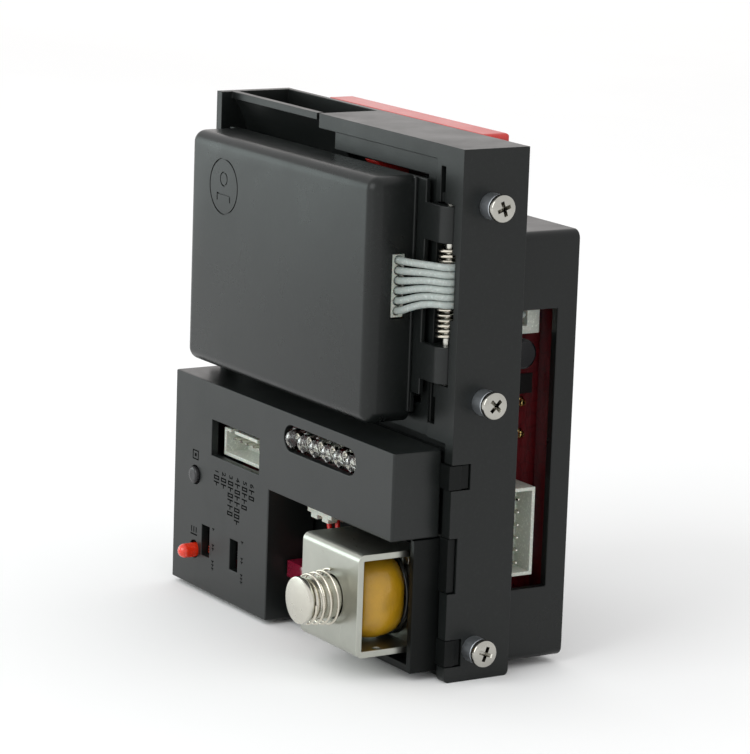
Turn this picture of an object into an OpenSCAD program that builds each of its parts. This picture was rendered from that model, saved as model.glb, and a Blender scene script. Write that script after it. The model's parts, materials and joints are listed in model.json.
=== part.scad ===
// Electronic coin acceptor in the 3.5-inch format: a plastic frame with a
// top coin funnel, a hinged sensor door, a lower control box, a solenoid
// gate, a rear circuit housing and a push-down reject lever.
// All sizes are in millimetres. Sub-part shapes are drawn with y = 0 at the
// frame's front plane, and placed() then centres the footprint on the origin.

/* [Frame] */
// Width of the frame over its two mounting flanges
frame_w = 89; // [88.6:0.1:89.4]
// Height of the frame
frame_h = 102; // [101.6:0.1:102.4]
// Depth of the frame from its front plane to its rear edge
frame_d = 14.5; // [14.4:0.1:14.7]
// Thickness of the right-hand flange
flange_t = 2.7; // [2.5:0.1:2.8]
// Thickness of the left-hand flange
left_flange_t = 2; // [1.8:0.1:2.1]
// Thickness of the solid top plate
top_t = 2.9; // [2.7:0.1:3]

/* [Rear housing] */
// How far the rear housing reaches behind the front plane
rear_d = 28.6; // [28.2:0.1:29]
// Width of the rear housing
rear_w = 84.2; // [83.8:0.1:84.4]
// Height of the top of the rear housing
rear_top = 85.2; // [84.8:0.1:85.4]
// Wall thickness of the rear housing
rear_t = 2; // [1.8:0.1:2.2]

/* [Control box] */
// How far the control box stands in front of the frame
box_d = 10.6; // [10.4:0.1:10.8]
// Height of the control box
box_h = 44.8; // [44.6:0.1:45]
// Wall thickness of the control box
box_t = 1.6; // [1.4:0.1:1.7]
// Height of the underside of the bar over the solenoid
bar_z = 27.8; // [27.6:0.1:28]

/* [Door] */
// Width of the rounded door cover
cover_w = 70.6; // [70.2:0.1:70.9]
// Height of the rounded door cover
cover_h = 47.2; // [47:0.1:47.3]
// Edge radius of the door cover
cover_r = 2.4; // [2:0.1:2.8]
// Radius of the hinge pin
pin_r = 1; // [0.9:0.05:1.1]
// Outer radius of the door's hinge barrels
barrel_r = 2.95; // [2.8:0.05:3]

/* [Solenoid] */
// How far the plunger's head stands in front of the frame
tip_d = 23.5; // [23.3:0.1:23.7]
// Width of the solenoid bracket
bracket_w = 20.6; // [20.2:0.1:20.8]
// Sheet thickness of the solenoid bracket
sheet_t = 1.3; // [1.2:0.1:1.4]
// Radius of the plunger's shaft
plunger_r = 4.05; // [3.9:0.05:4.1]

/* [Mounting studs] */
// Radius of the stud collars
stud_r = 2.5; // [2.4:0.05:2.55]
// Length of the stud collars
stud_len = 3; // [2.8:0.1:3.2]
// Length of the stud screws' heads
stud_head = 1.5; // [1.3:0.1:1.7]

/* [Hidden] */
$fn = 48;
eps = 0.01;
half_w = frame_w / 2;
// shift that puts the middle of the depth, plunger tip to rear wall, at y = 0
frame_y = (tip_d - rear_d) / 2;
right_in = half_w - flange_t;
left_in = -half_w + left_flange_t;

// flange notches: each is [lowest z, highest z, depth from the front edge]
foot_notch = [3, 8.4, 3.65];
step_notch = [17.4, 28.2, 1.85];
clip_notch = [37.4, 42.4, 4.2];
box_line = 46;         // above this the left flange stands further forward
left_lip = 2.4;        // how far it does

// coin funnel and coin channel
funnel_right = -7.8;   // right end of the open funnel
lip_z = 93.4;          // lower edge of the funnel's lip and right wall
slope_z = [84, 98];    // lower and upper end of the funnel's sloped back
bar_t = 1.4;           // front bar over the funnel
bar_y = 1.5;
lip_r = 28;            // radius of the funnel's curved front lip
lip_c = [-22.8, 85.2]; // centre of that curve, in y and z
floor_y = 8;           // face of the plate that the coin rolls against
floor_t = 2;
back_y = 13.3;         // face of the funnel's back wall
deck_y = 0.6;          // textured front face of the plate beside the door
deck_x = [-2.5, 35.3]; // that face's left and right ends
deck_z = 95.6;         // lower edge of the face over the door
chute_x = [13, 36];    // inside width of the coin chute
chute_y = [3.4, 12.7]; // inside depth of the coin chute
chute_top = 50;        // top of the chute's walls

// door hinge
pin_x = 38.5;
pin_y = 1.75;
knuckles = [[57.1, 64.2], [83.8, 90.8]];
pin_z = [54.6, 92.6];
hinge_z = [56.8, 91.2];
groove_x = [36.9, 38.5];
ribbon_z = 74.5;       // middle of the ribbon cable
wires = 6;
wire_r = 0.62;
plug_x = 28.2;           // depth of the wire holes in the ribbon's plug
spring_z = [65.2, 83];

// door
cover_x = -40;
cover_z = 48;
cover_y = [-10.9, -1.2];
rim_x = 33.8;
rim_z = [50, 95.1];
pad_y = 4.2;           // how far the door's pad reaches into the frame
pad_x = [-39, 30.5];
pad_z = [53, 92.6];
finger_x = 10;         // where the reject lever's finger meets the door

// control box
box_x = [-44.1, 40.9];
box_foot = 0.9;
leg_x = -5;            // right side of the control box's left leg
socket_x = [-28.5, -9.2];
socket_z = [29.9, 37.3];
lamp_x = [0.3, 27.3];
lamp_z = 39.85;
lamp_half = 2.65;
lamp_r = 2.1;
lamp_count = 6;
button_xz = [-35, 24.4];
led_xz = [-34.8, 8.6];
switch_a = [-30.1, 11.5];
switch_b = [-18.4, 11.2];
switch_win = [3.2, 6.4];
board_y = -1;          // front face of the control board

// solenoid
sol_x = 28;            // middle of the bracket
axis_x = 28.8;         // plunger axis
axis_z = 15.1;
sol_z = [5.1, 25.2];
sol_y = [-16, -1.6];
head_t = 1.2;
head_r = 4.55;
bobbin_y = [-14.6, -3.4];
coil_r = 8.3;

// accept gate
gate_yz = [4.2, 23];
gate_pin_r = 0.8;

// rear housing
board_x = 33;          // outer face of the rear board
window_y = [15.5, 24.1];
window_z = [15.9, 70.3];
bolt_sink = 1.6;         // depth of the screw heads' counterbores
header_pins = 6;
header_pitch = 2.5;
header_len = 17.4;
header_wide = 5.75;
header_deep = 7;

// reject lever
lever_x = [-29.1, 28.4];
lever_y = [14.9, 20.6];
lever_mid = 17.75;
lever_z = 92.4;
leg_xs = [-24, 23];

stud_yz = [[6.3, 91.3], [6.3, 54.1], [6.3, 6.2]];
stud_boss = 3.2;

// screws, each [x, z]
housing_bolts = [[-38, 9], [38.9, 9], [-36, 77.5], [28.2, 76]];
board_bolts = [[-39, 40.4], [36, 34], [-9.5, 5]];
bracket_bolts = [[21.5, 8.2], [34.5, 22.2]];
door_bolts = [[-32.4, 57], [-32.4, 89], [26, 57], [26, 89]];
coil_xz = [[-26, 70], [-6, 70], [14, 70]];

// ---- helpers ----

// moves a shape drawn from the frame's front plane to its final place
module placed() translate([0, frame_y, 0]) children();

// box between two opposite corners
module span(lo, hi) translate(lo) cube(hi - lo);

// extrusion along y of an outline in x and z
module slab_y(y0, y1) translate([0, y1, 0]) rotate([90, 0, 0]) linear_extrude(y1 - y0) children();

// extrusion along x of an outline in y and z
module slab_x(x0, x1) translate([x0, 0, 0]) rotate([90, 0, 90]) linear_extrude(x1 - x0) children();

// round bars along each axis
module rod_x(y, z, x0, x1, r) translate([x0, y, z]) rotate([0, 90, 0]) cylinder(h = x1 - x0, r = r);
module rod_y(x, z, y0, y1, r) translate([x, y0, z]) rotate([-90, 0, 0]) cylinder(h = y1 - y0, r = r);
module rod_z(x, y, z0, z1, r) translate([x, y, z0]) cylinder(h = z1 - z0, r = r);

// rectangle in a plane, between two opposite corners
module face(lo, hi) translate(lo) square(hi - lo);

// closed tube through a list of rings, each a list of points
module skin(rings) {
    n = len(rings);
    m = len(rings[0]);
    sides = [for (i = [0:n - 2]) for (j = [0:m - 1])
        for (k = [0, 1]) k == 0
            ? [i * m + j, i * m + (j + 1) % m, (i + 1) * m + (j + 1) % m]
            : [i * m + j, (i + 1) * m + (j + 1) % m, (i + 1) * m + j]];
    ends = [[for (j = [m - 1:-1:0]) j], [for (j = [0:m - 1]) (n - 1) * m + j]];
    polyhedron(points = [for (ring = rings) for (p = ring) p], faces = concat(sides, ends));
}

// rings of a coil spring about +Z: radii and heights run from first to last
function coil_rings(r0, r1, wire, turns, height, seg, sides) =
    [for (i = [0:turns * seg]) let (t = i / (turns * seg), a = 360 * i / seg, r = r0 + (r1 - r0) * t)
        [for (j = [0:sides - 1]) let (b = 360 * j / sides, q = r + wire * cos(b))
            [q * cos(a), q * sin(a), height * t + wire * sin(b)]]];

function unit(v) = v / norm(v);

// rings of a round wire along a route that never points along the side direction
function wire_rings(path, r, sides, side) =
    [for (i = [0:len(path) - 1])
        let (t = unit(path[min(i + 1, len(path) - 1)] - path[max(i - 1, 0)]),
             s = unit(cross(t, side)), u = cross(s, t))
        [for (j = [0:sides - 1]) let (b = 360 * j / sides) path[i] + r * (cos(b) * s + sin(b) * u)]];

// ---- frame ----

// outline of a side flange in y and z, with its stepped front edge
module flange_outline(front) {
    foot_r = 1;
    difference() {
        union() {
            face([0, foot_r], [frame_d, box_line]);
            face([foot_r, 0], [frame_d - foot_r, box_line]);
            translate([foot_r, foot_r]) circle(foot_r);
            translate([frame_d - foot_r, foot_r]) circle(foot_r);
            face([front, box_line - eps], [frame_d, frame_h]);
        }
        for (n = [foot_notch, step_notch, clip_notch])
            face([-1, n[0]], [n[2], n[1]]);
    }
}

// curved front lip of the coin funnel, in y and z
module lip_outline() intersection() {
    translate(lip_c) difference() {
        circle(lip_r + 1.2, $fn = 180);
        circle(lip_r, $fn = 180);
    }
    face([0, lip_z], [6, frame_h - bar_t + eps]);
}

module stud_bosses(x0, x1, r) for (p = stud_yz) rod_x(p[0], p[1], x0, x1, r);

module main_frame() placed() color([0.16, 0.17, 0.17]) difference() {
    wall = 1.6;
    top_under = frame_h - top_t;
    union() {
        slab_x(right_in, half_w) flange_outline(0);
        slab_x(-half_w, left_in) flange_outline(-left_lip);
        // solid top plate and the bar that bounds the funnel's front
        span([funnel_right, 0, frame_h - top_t], [right_in + eps, frame_d, frame_h]);
        span([left_in - eps, 0, frame_h - bar_t], [funnel_right + eps, bar_y, frame_h]);
        slab_x(left_in - eps, deck_x[0] + eps) lip_outline();
        // sloped back of the funnel and the wall at its right end
        slab_x(left_in - eps, funnel_right + wall)
            polygon([[floor_y, slope_z[0]], [back_y + eps, slope_z[1]], [back_y + eps, slope_z[0]]]);
        slab_x(funnel_right, funnel_right + wall) polygon([
            [4.6, lip_z], [2.2, top_under + eps], [back_y + eps, top_under + eps], [back_y + eps, lip_z]]);
        // wall behind the funnel and the lever's slots
        span([left_in - eps, back_y, rear_top - 4], [right_in + eps, frame_d, frame_h - eps]);
        // textured deck over and beside the door
        span([deck_x[0], deck_y, deck_z], [deck_x[1], floor_y + eps, top_under + eps]);
        span([pad_x[1] + 1.3, deck_y, box_line], [deck_x[1], floor_y + eps, deck_z + eps]);
        // plate that the coins roll against, which ends at the funnel's sloped back
        span([left_in - eps, floor_y, chute_top], [right_in + eps, floor_y + floor_t, slope_z[0] + eps]);
        span([funnel_right, floor_y, chute_top], [right_in + eps, floor_y + floor_t, top_under + eps]);
        // strip below the door, above the control box
        span([left_in - eps, deck_y, box_line], [deck_x[1] + eps, 2.4, pad_z[0] - 1.2]);
        // blocks that hold the hinge pin
        span([deck_x[1] - eps, 0, hinge_z[1]], [right_in + eps, floor_y + eps, top_under + eps]);
        span([deck_x[1] - eps, 0, box_line], [right_in + eps, floor_y + eps, hinge_z[0]]);
        // lower front wall, back wall, floor and the chute's side walls
        span([left_in - eps, 1.9, 0], [right_in + eps, chute_y[0], box_line + eps]);
        span([left_in - eps, chute_y[1], 0], [right_in + eps, frame_d, chute_top]);
        span([left_in - eps, 1.9, 0], [right_in + eps, frame_d, wall]);
        for (x = [chute_x[0] - wall, chute_x[1]])
            span([x, chute_y[0] - eps, 1], [x + wall, chute_y[1] + eps, chute_top]);
        stud_bosses(right_in - stud_boss, right_in + eps, stud_boss);
        stud_bosses(left_in - eps, left_in + 1.5, stud_boss);
        for (p = housing_bolts) rod_y(p[0], p[1], floor_y + eps, frame_d, 2.6);
    }
    // deep groove beside the hinge, kept clear of the pin's ends
    span([groove_x[0], -1, pin_z[1] + 0.4], [groove_x[1], 6, 98]);
    span([groove_x[0], -1, 90], [groove_x[1], 0.55, 97]);
    // gap between the front bar and the top plate
    span([funnel_right - 0.9, -1, frame_h - bar_t], [funnel_right, bar_y + 1, frame_h + 1]);
    span([groove_x[0] - 1.6, -1, 49], [groove_x[1] - 0.8, 6, pin_z[0] - 0.4]);
    span([groove_x[0] - 1.6, -1, pin_z[0] - 0.5], [groove_x[1] - 1.5, 6, hinge_z[0] + 1]);
    rod_z(pin_x, pin_y, pin_z[0], pin_z[1], pin_r);
    for (z = knuckles) rod_z(pin_x, pin_y, z[0] - 0.3, z[1] + 0.3, barrel_r + 0.35);
    // pockets behind the flange notches, for the snap tabs
    for (n = [foot_notch, clip_notch]) {
        span([right_in - 1.1, -1, n[0]], [right_in + eps, n[2], n[1]]);
        span([left_in - eps, -1, n[0]], [left_in + 0.8, n[2], n[1]]);
    }
    // way for the ribbon cable beside the hinge spring and through the plate
    span([right_in - 1, -1, 69.6], [right_in + 1, floor_y + floor_t + 1, 82]);
    span([37.5, floor_y - 1, 66], [right_in + 1, back_y + 2, 82]);
    // slots for the reject lever's finger
    span([finger_x - 3, floor_y - 1, 79], [finger_x + 3, floor_y + floor_t + 1, 97.4]);
    span([finger_x - 3, back_y - 1, 83.4], [finger_x + 3, frame_d + 1, 97.4]);
    // openings: coin exit below, push rod in front, cable window behind
    span([chute_x[0], chute_y[0] + 0.6, -1], [chute_x[1], chute_y[1], 2]);
    rod_y(axis_x, axis_z, 1, chute_y[0] + 1, 1.5);
    span([-34, chute_y[1] - 1, 8], [8, frame_d + 1, 42]);
    span([-30, 1, 10], [-12, chute_y[0] + 1, 26]);
    // bores for the stud screws, the housing's screws and the gate's pin
    stud_bosses(right_in - stud_boss - 1, half_w + 1, 1.5);
    stud_bosses(-half_w - 1, left_in + 2.5, 1.5);
    for (p = housing_bolts) rod_y(p[0], p[1], floor_y + floor_t, frame_d + 1, 1.2);
    rod_x(gate_yz[0] + 1, gate_yz[1], chute_x[0] - 2, chute_x[1] + 2, gate_pin_r);
}

// sloping rail, coin guides and sensor pockets behind the door
module coin_track() placed() color([0.2, 0.21, 0.21]) {
    y0 = pad_y + 0.4;
    difference() {
        slab_y(y0, floor_y)
            polygon([[left_in, 66], [left_in, 68], [11.4, 56.6], [13, 53.4], [11, 53.4], [9.8, 54.9]]);
        for (x = [-30, -16, -2]) span([x, y0 - 1, 50], [x + 7, y0 + 1, 56 - 0.2 * x]);
    }
    for (x = [-20, 2]) rod_y(x, 76, floor_y - 0.3, floor_y, 7.5);
    slab_y(y0 + 0.6, floor_y) polygon([[30.6, 53], [31.7, 53], [31.7, 88], [24, 94], [22.5, 94], [30.6, 87]]);
}

// ---- rear housing and its board ----

module rear_housing() placed() color([0.15, 0.15, 0.15]) {
    x = rear_w / 2;
    z0 = 1.5;
    r = 1.75;
    difference() {
        slab_y(frame_d, rear_d) union() {
            face([-x + r, z0], [x - r, rear_top]);
            face([-x, z0 + r], [x, rear_top - r]);
            for (cx = [-x + r, x - r]) for (cz = [z0 + r, rear_top - r]) translate([cx, cz]) circle(r);
        }
        difference() {
            span([-x + rear_t, frame_d - 1, z0 + rear_t], [x - rear_t, rear_d - rear_t, rear_top - rear_t]);
            for (p = housing_bolts) rod_y(p[0], p[1], frame_d - 2, rear_d, 2.9);
            // ledge that the rear board stands on
            span([board_x - 1.6 - 1, 18, z0], [board_x + 0.8, rear_d, z0 + rear_t + 3.2]);
        }
        span([x - rear_t - 1, window_y[0], window_z[0]], [x + 1, window_y[1], window_z[1]]);
        for (p = housing_bolts) {
            rod_y(p[0], p[1], frame_d - 1, rear_d + 1, 1.3);
            rod_y(p[0], p[1], rear_d - bolt_sink, rear_d + 1, 2.2);
        }
        for (cx = leg_xs) span([cx - 2.4, 15.7, rear_top - rear_t - 1], [cx + 2.4, 19.5, rear_top + 1]);
        // notch for the reject lever's finger
        span([finger_x - 3, frame_d - 1, rear_top - rear_t - 0.2],
            [finger_x + 3, lever_y[0] + 0.5, rear_top + 1]);
        // shallow label panel and vent slots in the back
        span([-26, rear_d - 0.4, 34], [26, rear_d + 1, 66]);
        for (i = [0:5]) span([-20 + 7 * i, rear_d - 3, 12], [-17.4 + 7 * i, rear_d + 1, 26]);
    }
    rod_z(0, lever_mid, rear_top - eps, rear_top + 1.6, 0.85);
}

module housing_screws() placed() color("silver") {
    y0 = floor_y + floor_t + 0.5;
    y1 = rear_d - bolt_sink;
    for (p = housing_bolts) translate([p[0], y0, p[1]]) rotate([-90, 0, 0]) {
        cylinder(h = y1 - y0 + 0.5, r = 1.2);
        translate([0, 0, y1 - y0]) difference() {
            cylinder(h = 1.3, r = 2.05);
            for (a = [0, 90]) rotate(a) translate([-1.2, -0.3, 0.6]) cube([2.4, 0.6, 1]);
        }
    }
}

module rear_board() placed() color([0.42, 0.08, 0.1])
    span([board_x - 1.6, 15.2, 6.7], [board_x, rear_d - rear_t, 83]);

// box header that opens towards +X, with key slots in its front wall
module side_header() placed() color([0.88, 0.9, 0.86]) {
    x1 = board_x + header_deep;
    y0 = 16.5;
    z0 = 17.9;
    wall = 0.75;
    difference() {
        span([board_x, y0, z0], [x1, y0 + header_wide, z0 + header_len]);
        span([board_x + 1.8, y0 + wall, z0 + wall],
            [x1 + 1, y0 + header_wide - wall, z0 + header_len - wall]);
        for (z = [z0 + 2.6, z0 + header_len - 4.1])
            span([board_x + 3.4, y0 - 1, z], [x1 + 1, y0 + wall + eps, z + 1.5]);
    }
}

module side_header_pins() placed() color("silver")
    for (i = [0:header_pins - 1]) {
        z = 26.6 + (i - (header_pins - 1) / 2) * header_pitch;
        span([board_x + 1.8, 18.7, z - 0.32], [board_x + 6.2, 19.34, z + 0.32]);
    }

// socket and plug of the ribbon cable on the rear board
module ribbon_socket() placed() color([0.85, 0.87, 0.83]) difference() {
    span([board_x, 16.6, 64.8], [board_x + 4.4, 23.2, 82]);
    span([board_x + 2, 17.3, 66.4], [board_x + 5, 20.4, 81.3]);
}

module filter_capacitor() placed() color([0.08, 0.08, 0.1]) {
    rod_x(18.3, 61.4, board_x, board_x + 6.6, 2.95);
    rod_x(18.3, 61.4, board_x + 6.6 - eps, board_x + 7, 2.5);
}

module contact_posts() placed() color("gold")
    for (z = [50.6, 44.3]) {
        rod_x(22.4, z, board_x, board_x + 0.8, 1.1);
        translate([board_x + 0.8, 22.4, z]) sphere(0.75);
    }

module driver_chip() placed() color([0.1, 0.1, 0.1]) {
    span([board_x, 21.6, 52.2], [board_x + 0.5, 24.9, 56.1]);
    span([board_x - 5.1, 18, 36], [board_x - 1.6, 25, 56]);
}

// ---- mounting studs ----

module stud_side() for (p = stud_yz) translate([half_w, p[0], p[1]]) rotate([0, 90, 0]) children();

module both_sides() {
    children();
    mirror([1, 0, 0]) children();
}

module stud_collars() placed() color([0.75, 0.75, 0.75]) both_sides() stud_side() difference() {
    cylinder(h = stud_len, r = stud_r);
    translate([0, 0, -1]) cylinder(h = stud_len + 2, r = 1.55);
}

module stud_screws() placed() color([0.82, 0.82, 0.8]) both_sides() stud_side() {
    depth = 3.5;
    slot = 0.7;
    difference() {
        union() {
            translate([0, 0, -depth]) cylinder(h = depth + stud_len + eps, r = 1.45);
            translate([0, 0, stud_len]) cylinder(h = stud_head - 0.3, r1 = stud_r, r2 = stud_r - 0.12);
            translate([0, 0, stud_len + stud_head - 0.3 - eps]) cylinder(h = 0.3 + eps, r = 2.2);
        }
        for (a = [20, 110]) rotate(a)
            span([-1.6, -slot / 2, stud_len + stud_head - 1], [1.6, slot / 2, stud_len + stud_head + 1]);
    }
}

// ---- control box ----

// outline of the control box in x and z, shrunk by a margin on every side
module box_outline(m) polygon([
    [box_x[0] + m, box_foot + m], [leg_x - m, box_foot + m], [leg_x - m, bar_z + m],
    [box_x[1] - m, bar_z + m], [box_x[1] - m, box_h - m], [box_x[0] + m, box_h - m]]);

module stadium(x0, x1, z, r) {
    translate([x0 + r, z]) circle(r);
    translate([x1 - r, z]) circle(r);
    face([x0 + r, z - r], [x1 - r, z + r]);
}

module window_at(c) translate(c) face(-switch_win / 2, switch_win / 2);

module control_box() placed() color([0.3, 0.32, 0.32]) difference() {
    slab_y(-box_d, 0) box_outline(0);
    slab_y(-box_d + box_t, 1) box_outline(box_t);
    slab_y(-box_d - 1, 0) union() {
        face([socket_x[0], socket_z[0]], [socket_x[1], socket_z[1]]);
        stadium(lamp_x[0], lamp_x[1], lamp_z, lamp_half);
        translate(button_xz) circle(2);
        translate([led_xz[0], led_xz[1] + 0.2]) circle(1.85);
        window_at(switch_a);
        window_at(switch_b);
    }
    // way for the lead plug under the bar
    span([0.4, -6.2, bar_z - 1], [10.8, 1, bar_z + box_t + 1]);
}

// rear cover of the control box, with the solenoid's tray and the snap tabs
module control_base() placed() color([0.17, 0.18, 0.18]) {
    y0 = 0.7;
    y1 = 1.8;
    tray_y = -5.4;
    tray_z = 1.6;
    difference() {
        union() {
            span([left_in + 0.4, y0, box_foot + 0.3], [right_in - 0.3, y1, box_h - 0.4]);
            span([39.4, tray_y, tray_z], [box_x[1], y0 + eps, bar_z - 0.2]);
            span([leg_x + 0.3, tray_y, tray_z], [box_x[1], y0 + eps, tray_z + 1.5]);
        }
        rod_y(axis_x, axis_z, tray_y, y1 + 1, 1.6);
        for (p = bracket_bolts) rod_y(p[0], p[1], 0, y1 + 1, 1.1);
        for (p = board_bolts) rod_y(p[0], p[1], 0, y1 + 1, 0.95);
        span([-28, y0 - 1, 12], [-14, y1 + 1, 24]);
    }
    // right-hand tabs, flush with the flange
    for (t = [[clip_notch, -0.5, 2.2, 4.05], [foot_notch, 0, 2.2, 3.5]]) {
        z0 = t[0][0] + 0.15;
        z1 = t[0][1] - 0.15;
        span([right_in - 0.8, t[1], z0], [half_w, t[2], z1]);
        span([right_in - 0.8, t[2] - eps, z0], [half_w - 0.35, t[3], z1]);
    }
    // rib in the flange's shallow notch
    span([right_in - 0.8, 0.1, step_notch[0] + 0.15],
        [half_w - 0.5, step_notch[2] - 0.15, step_notch[1] - 0.15]);
    // left-hand tabs
    for (n = [clip_notch, foot_notch])
        span([-half_w, 0.1, n[0] + 0.3], [left_in + 0.5, 2.8, n[1] - 0.3]);
}

module control_board() placed() color([0.42, 0.08, 0.1]) difference() {
    slab_y(board_y, 0.6) box_outline(box_t + 0.6);
    span([0.2, board_y - 1, bar_z], [11, 1, bar_z + 5]);
    for (p = board_bolts) rod_y(p[0], p[1], board_y - 1, 1, 1.1);
}

module control_screws() placed() color("silver")
    for (p = board_bolts) {
        rod_y(p[0], p[1], board_y - 0.5, 1.7, 0.95);
        rod_y(p[0], p[1], board_y - 1.2, board_y, 1.7);
    }

// box header that opens towards the front, with key slots in its top wall
module front_header() placed() color([0.88, 0.9, 0.86]) {
    x0 = -27.9;
    z0 = 29.95;
    y0 = board_y - header_deep;
    wall = 0.75;
    difference() {
        span([x0, y0, z0], [x0 + header_len, board_y, z0 + header_wide]);
        span([x0 + wall, y0 - 1, z0 + wall],
            [x0 + header_len - wall, board_y - 1.8, z0 + header_wide - wall]);
        for (x = [x0 + 2.6, x0 + header_len - 4.1])
            span([x, y0 - 1, z0 + header_wide - wall - eps], [x + 1.5, board_y - 3.4, z0 + header_wide + 1]);
    }
}

module front_header_pins() placed() color("silver")
    for (i = [0:header_pins - 1]) {
        x = -19.2 + (i - (header_pins - 1) / 2) * header_pitch;
        span([x - 0.32, board_y - 6.2, 33.2], [x + 0.32, board_y - 1.8, 33.84]);
    }

// round-nosed lamp pointing to the front, on two legs from the control board
module lamp(x, z, nose_y, r, rim) {
    body = 5.3;
    rim_y = nose_y + body;
    translate([x, nose_y + r, z]) sphere(r);
    rod_y(x, z, nose_y + r, rim_y, r);
    rod_y(x, z, rim_y - eps, rim_y + 0.8, rim);
    for (s = [-1, 1]) rod_y(x + s * 0.6 * r, z, rim_y + 0.8 - eps, board_y, 0.25);
}

module display_leds() placed() color([0.85, 0.9, 0.9])
    for (i = [0:lamp_count - 1])
        lamp(lamp_x[0] + (i + 0.5) * (lamp_x[1] - lamp_x[0]) / lamp_count, lamp_z - 0.2,
            -11.3, lamp_r, lamp_r + 0.05);

module status_led() placed() color([0.8, 0.1, 0.08])
    lamp(led_xz[0], led_xz[1], -14.2, 1.5, 1.8);

module teach_switch() placed() color([0.12, 0.12, 0.12]) {
    span([button_xz[0] - 3, board_y - 3.4, button_xz[1] - 3], [button_xz[0] + 3, board_y, button_xz[1] + 3]);
    for (sx = [-1, 1]) for (sz = [-1, 1])
        rod_y(button_xz[0] + sx * 2.2, button_xz[1] + sz * 2.2, board_y - 3.7, board_y - 3.3, 0.4);
}

module teach_button() placed() color([0.06, 0.06, 0.06]) {
    rod_y(button_xz[0], button_xz[1], -11.1, board_y - 4.4, 1.72);
    translate([button_xz[0], -11.1, button_xz[1]]) rotate([90, 0, 0]) cylinder(h = 0.25, r1 = 1.72, r2 = 1.4);
}

// slide switch body with a slot for its slider, behind a window at c
module slide_switch(c, lo, hi) difference() {
    span([c[0] - 1.9, board_y - 4.6, c[1] - 4.2], [c[0] + 1.9, board_y, c[1] + 4.2]);
    span([c[0] - 1, board_y - 5, c[1] + lo], [c[0] + 1, board_y - 1.8, c[1] + hi]);
}

// slider knob in the middle of its travel at height z
module slider(c, z) {
    span([c[0] - 0.75, board_y - 8.4, z - 0.9], [c[0] + 0.75, board_y - 3, z + 0.9]);
    span([c[0] - 0.85, board_y - 4, z - 1], [c[0] + 0.85, board_y - 2.2, z + 1]);
}

module speed_switch() placed() color([0.1, 0.1, 0.1]) slide_switch(switch_a, -3.3, 3.3);
module speed_slider() placed() color([0.85, 0.2, 0.1]) slider(switch_a, switch_a[1] - 2);
module pulse_switch() placed() color([0.1, 0.1, 0.1]) slide_switch(switch_b, -3.3, 3.3);
module pulse_slider() placed() color([0.12, 0.13, 0.14]) slider(switch_b, switch_b[1]);

// ---- solenoid and accept gate ----

// outline of the bent bracket in y and z
module bracket_outline(m) {
    r = 1.5 - m;
    y0 = sol_y[0] + m;
    face([y0 + r, sol_z[0] + m], [sol_y[1] + (m > 0 ? 1 : 0), sol_z[1] - m]);
    face([y0, sol_z[0] + m + r], [sol_y[1], sol_z[1] - m - r]);
    for (z = [sol_z[0] + m + r, sol_z[1] - m - r]) translate([y0 + r, z]) circle(r);
}

module solenoid_bracket() placed() color([0.72, 0.72, 0.66]) difference() {
    union() {
        slab_x(sol_x - bracket_w / 2, sol_x + bracket_w / 2) difference() {
            bracket_outline(0);
            bracket_outline(sheet_t);
        }
        // rear plate of the magnetic circuit
        span([sol_x - 8.6, sol_y[1] - 1.6, sol_z[0] + sheet_t], [sol_x + 8.6, sol_y[1], sol_z[1] - sheet_t]);
    }
    rod_y(axis_x, axis_z, sol_y[0] - 1, sol_y[0] + 3, plunger_r + 0.25);
    rod_y(axis_x, axis_z, sol_y[1] - 2, sol_y[1] + 1, 1.4);
    for (p = bracket_bolts) rod_y(p[0], p[1], sol_y[1] - 2, sol_y[1] + 1, 1.1);
    rod_z(sol_x + bracket_w / 2 - 1.2, -10.6, sol_z[0] - 1, sol_z[0] + 2, 0.8);
}

module solenoid_screws() placed() color("silver")
    for (p = bracket_bolts) rod_y(p[0], p[1], sol_y[1] - 1.6, 1.7, 1.05);

module bobbin() placed() color([0.1, 0.1, 0.1]) difference() {
    union() {
        rod_y(axis_x - 0.4, axis_z, bobbin_y[0], bobbin_y[0] + 0.8, coil_r + 0.3);
        rod_y(axis_x - 0.4, axis_z, bobbin_y[1] - 0.8, bobbin_y[1], coil_r + 0.3);
        rod_y(axis_x, axis_z, bobbin_y[0], bobbin_y[1], plunger_r + 0.9);
    }
    rod_y(axis_x, axis_z, bobbin_y[0] - 1, bobbin_y[1] + 1, plunger_r + 0.15);
}

module coil_winding() placed() color([0.8, 0.62, 0.1]) difference() {
    rod_y(axis_x - 0.4, axis_z, bobbin_y[0] + 0.8, bobbin_y[1] - 0.8, coil_r);
    rod_y(axis_x, axis_z, bobbin_y[0], bobbin_y[1], plunger_r + 0.9);
}

module fixed_core() placed() color([0.7, 0.7, 0.68]) difference() {
    rod_y(axis_x, axis_z, -5.6, sol_y[1] - 1.6, plunger_r);
    rod_y(axis_x, axis_z, -7, 1, 1.3);
}

module plunger() placed() color([0.75, 0.75, 0.72]) {
    tip = -tip_d;
    shaft_end = -9.4;
    rod_y(axis_x, axis_z, tip, tip + head_t, head_r);
    rod_y(axis_x, axis_z, tip + head_t - eps, tip + head_t + 0.5, plunger_r - 0.4);
    rod_y(axis_x, axis_z, tip + head_t + 0.5 - eps, shaft_end, plunger_r);
    rod_y(axis_x, axis_z, shaft_end - eps, 2.3, 1);
    translate([axis_x, 2.3, axis_z]) sphere(1);
}

module plunger_spring() placed() color("silver") {
    wire = 0.25;
    y0 = -tip_d + head_t + wire + 0.05;
    len = sol_y[0] - wire - 0.05 - y0;
    translate([axis_x, y0, axis_z]) rotate([-90, 0, 0]) skin(coil_rings(4.45, 5.3, wire, 3.5, len, 20, 6));
}

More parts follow.
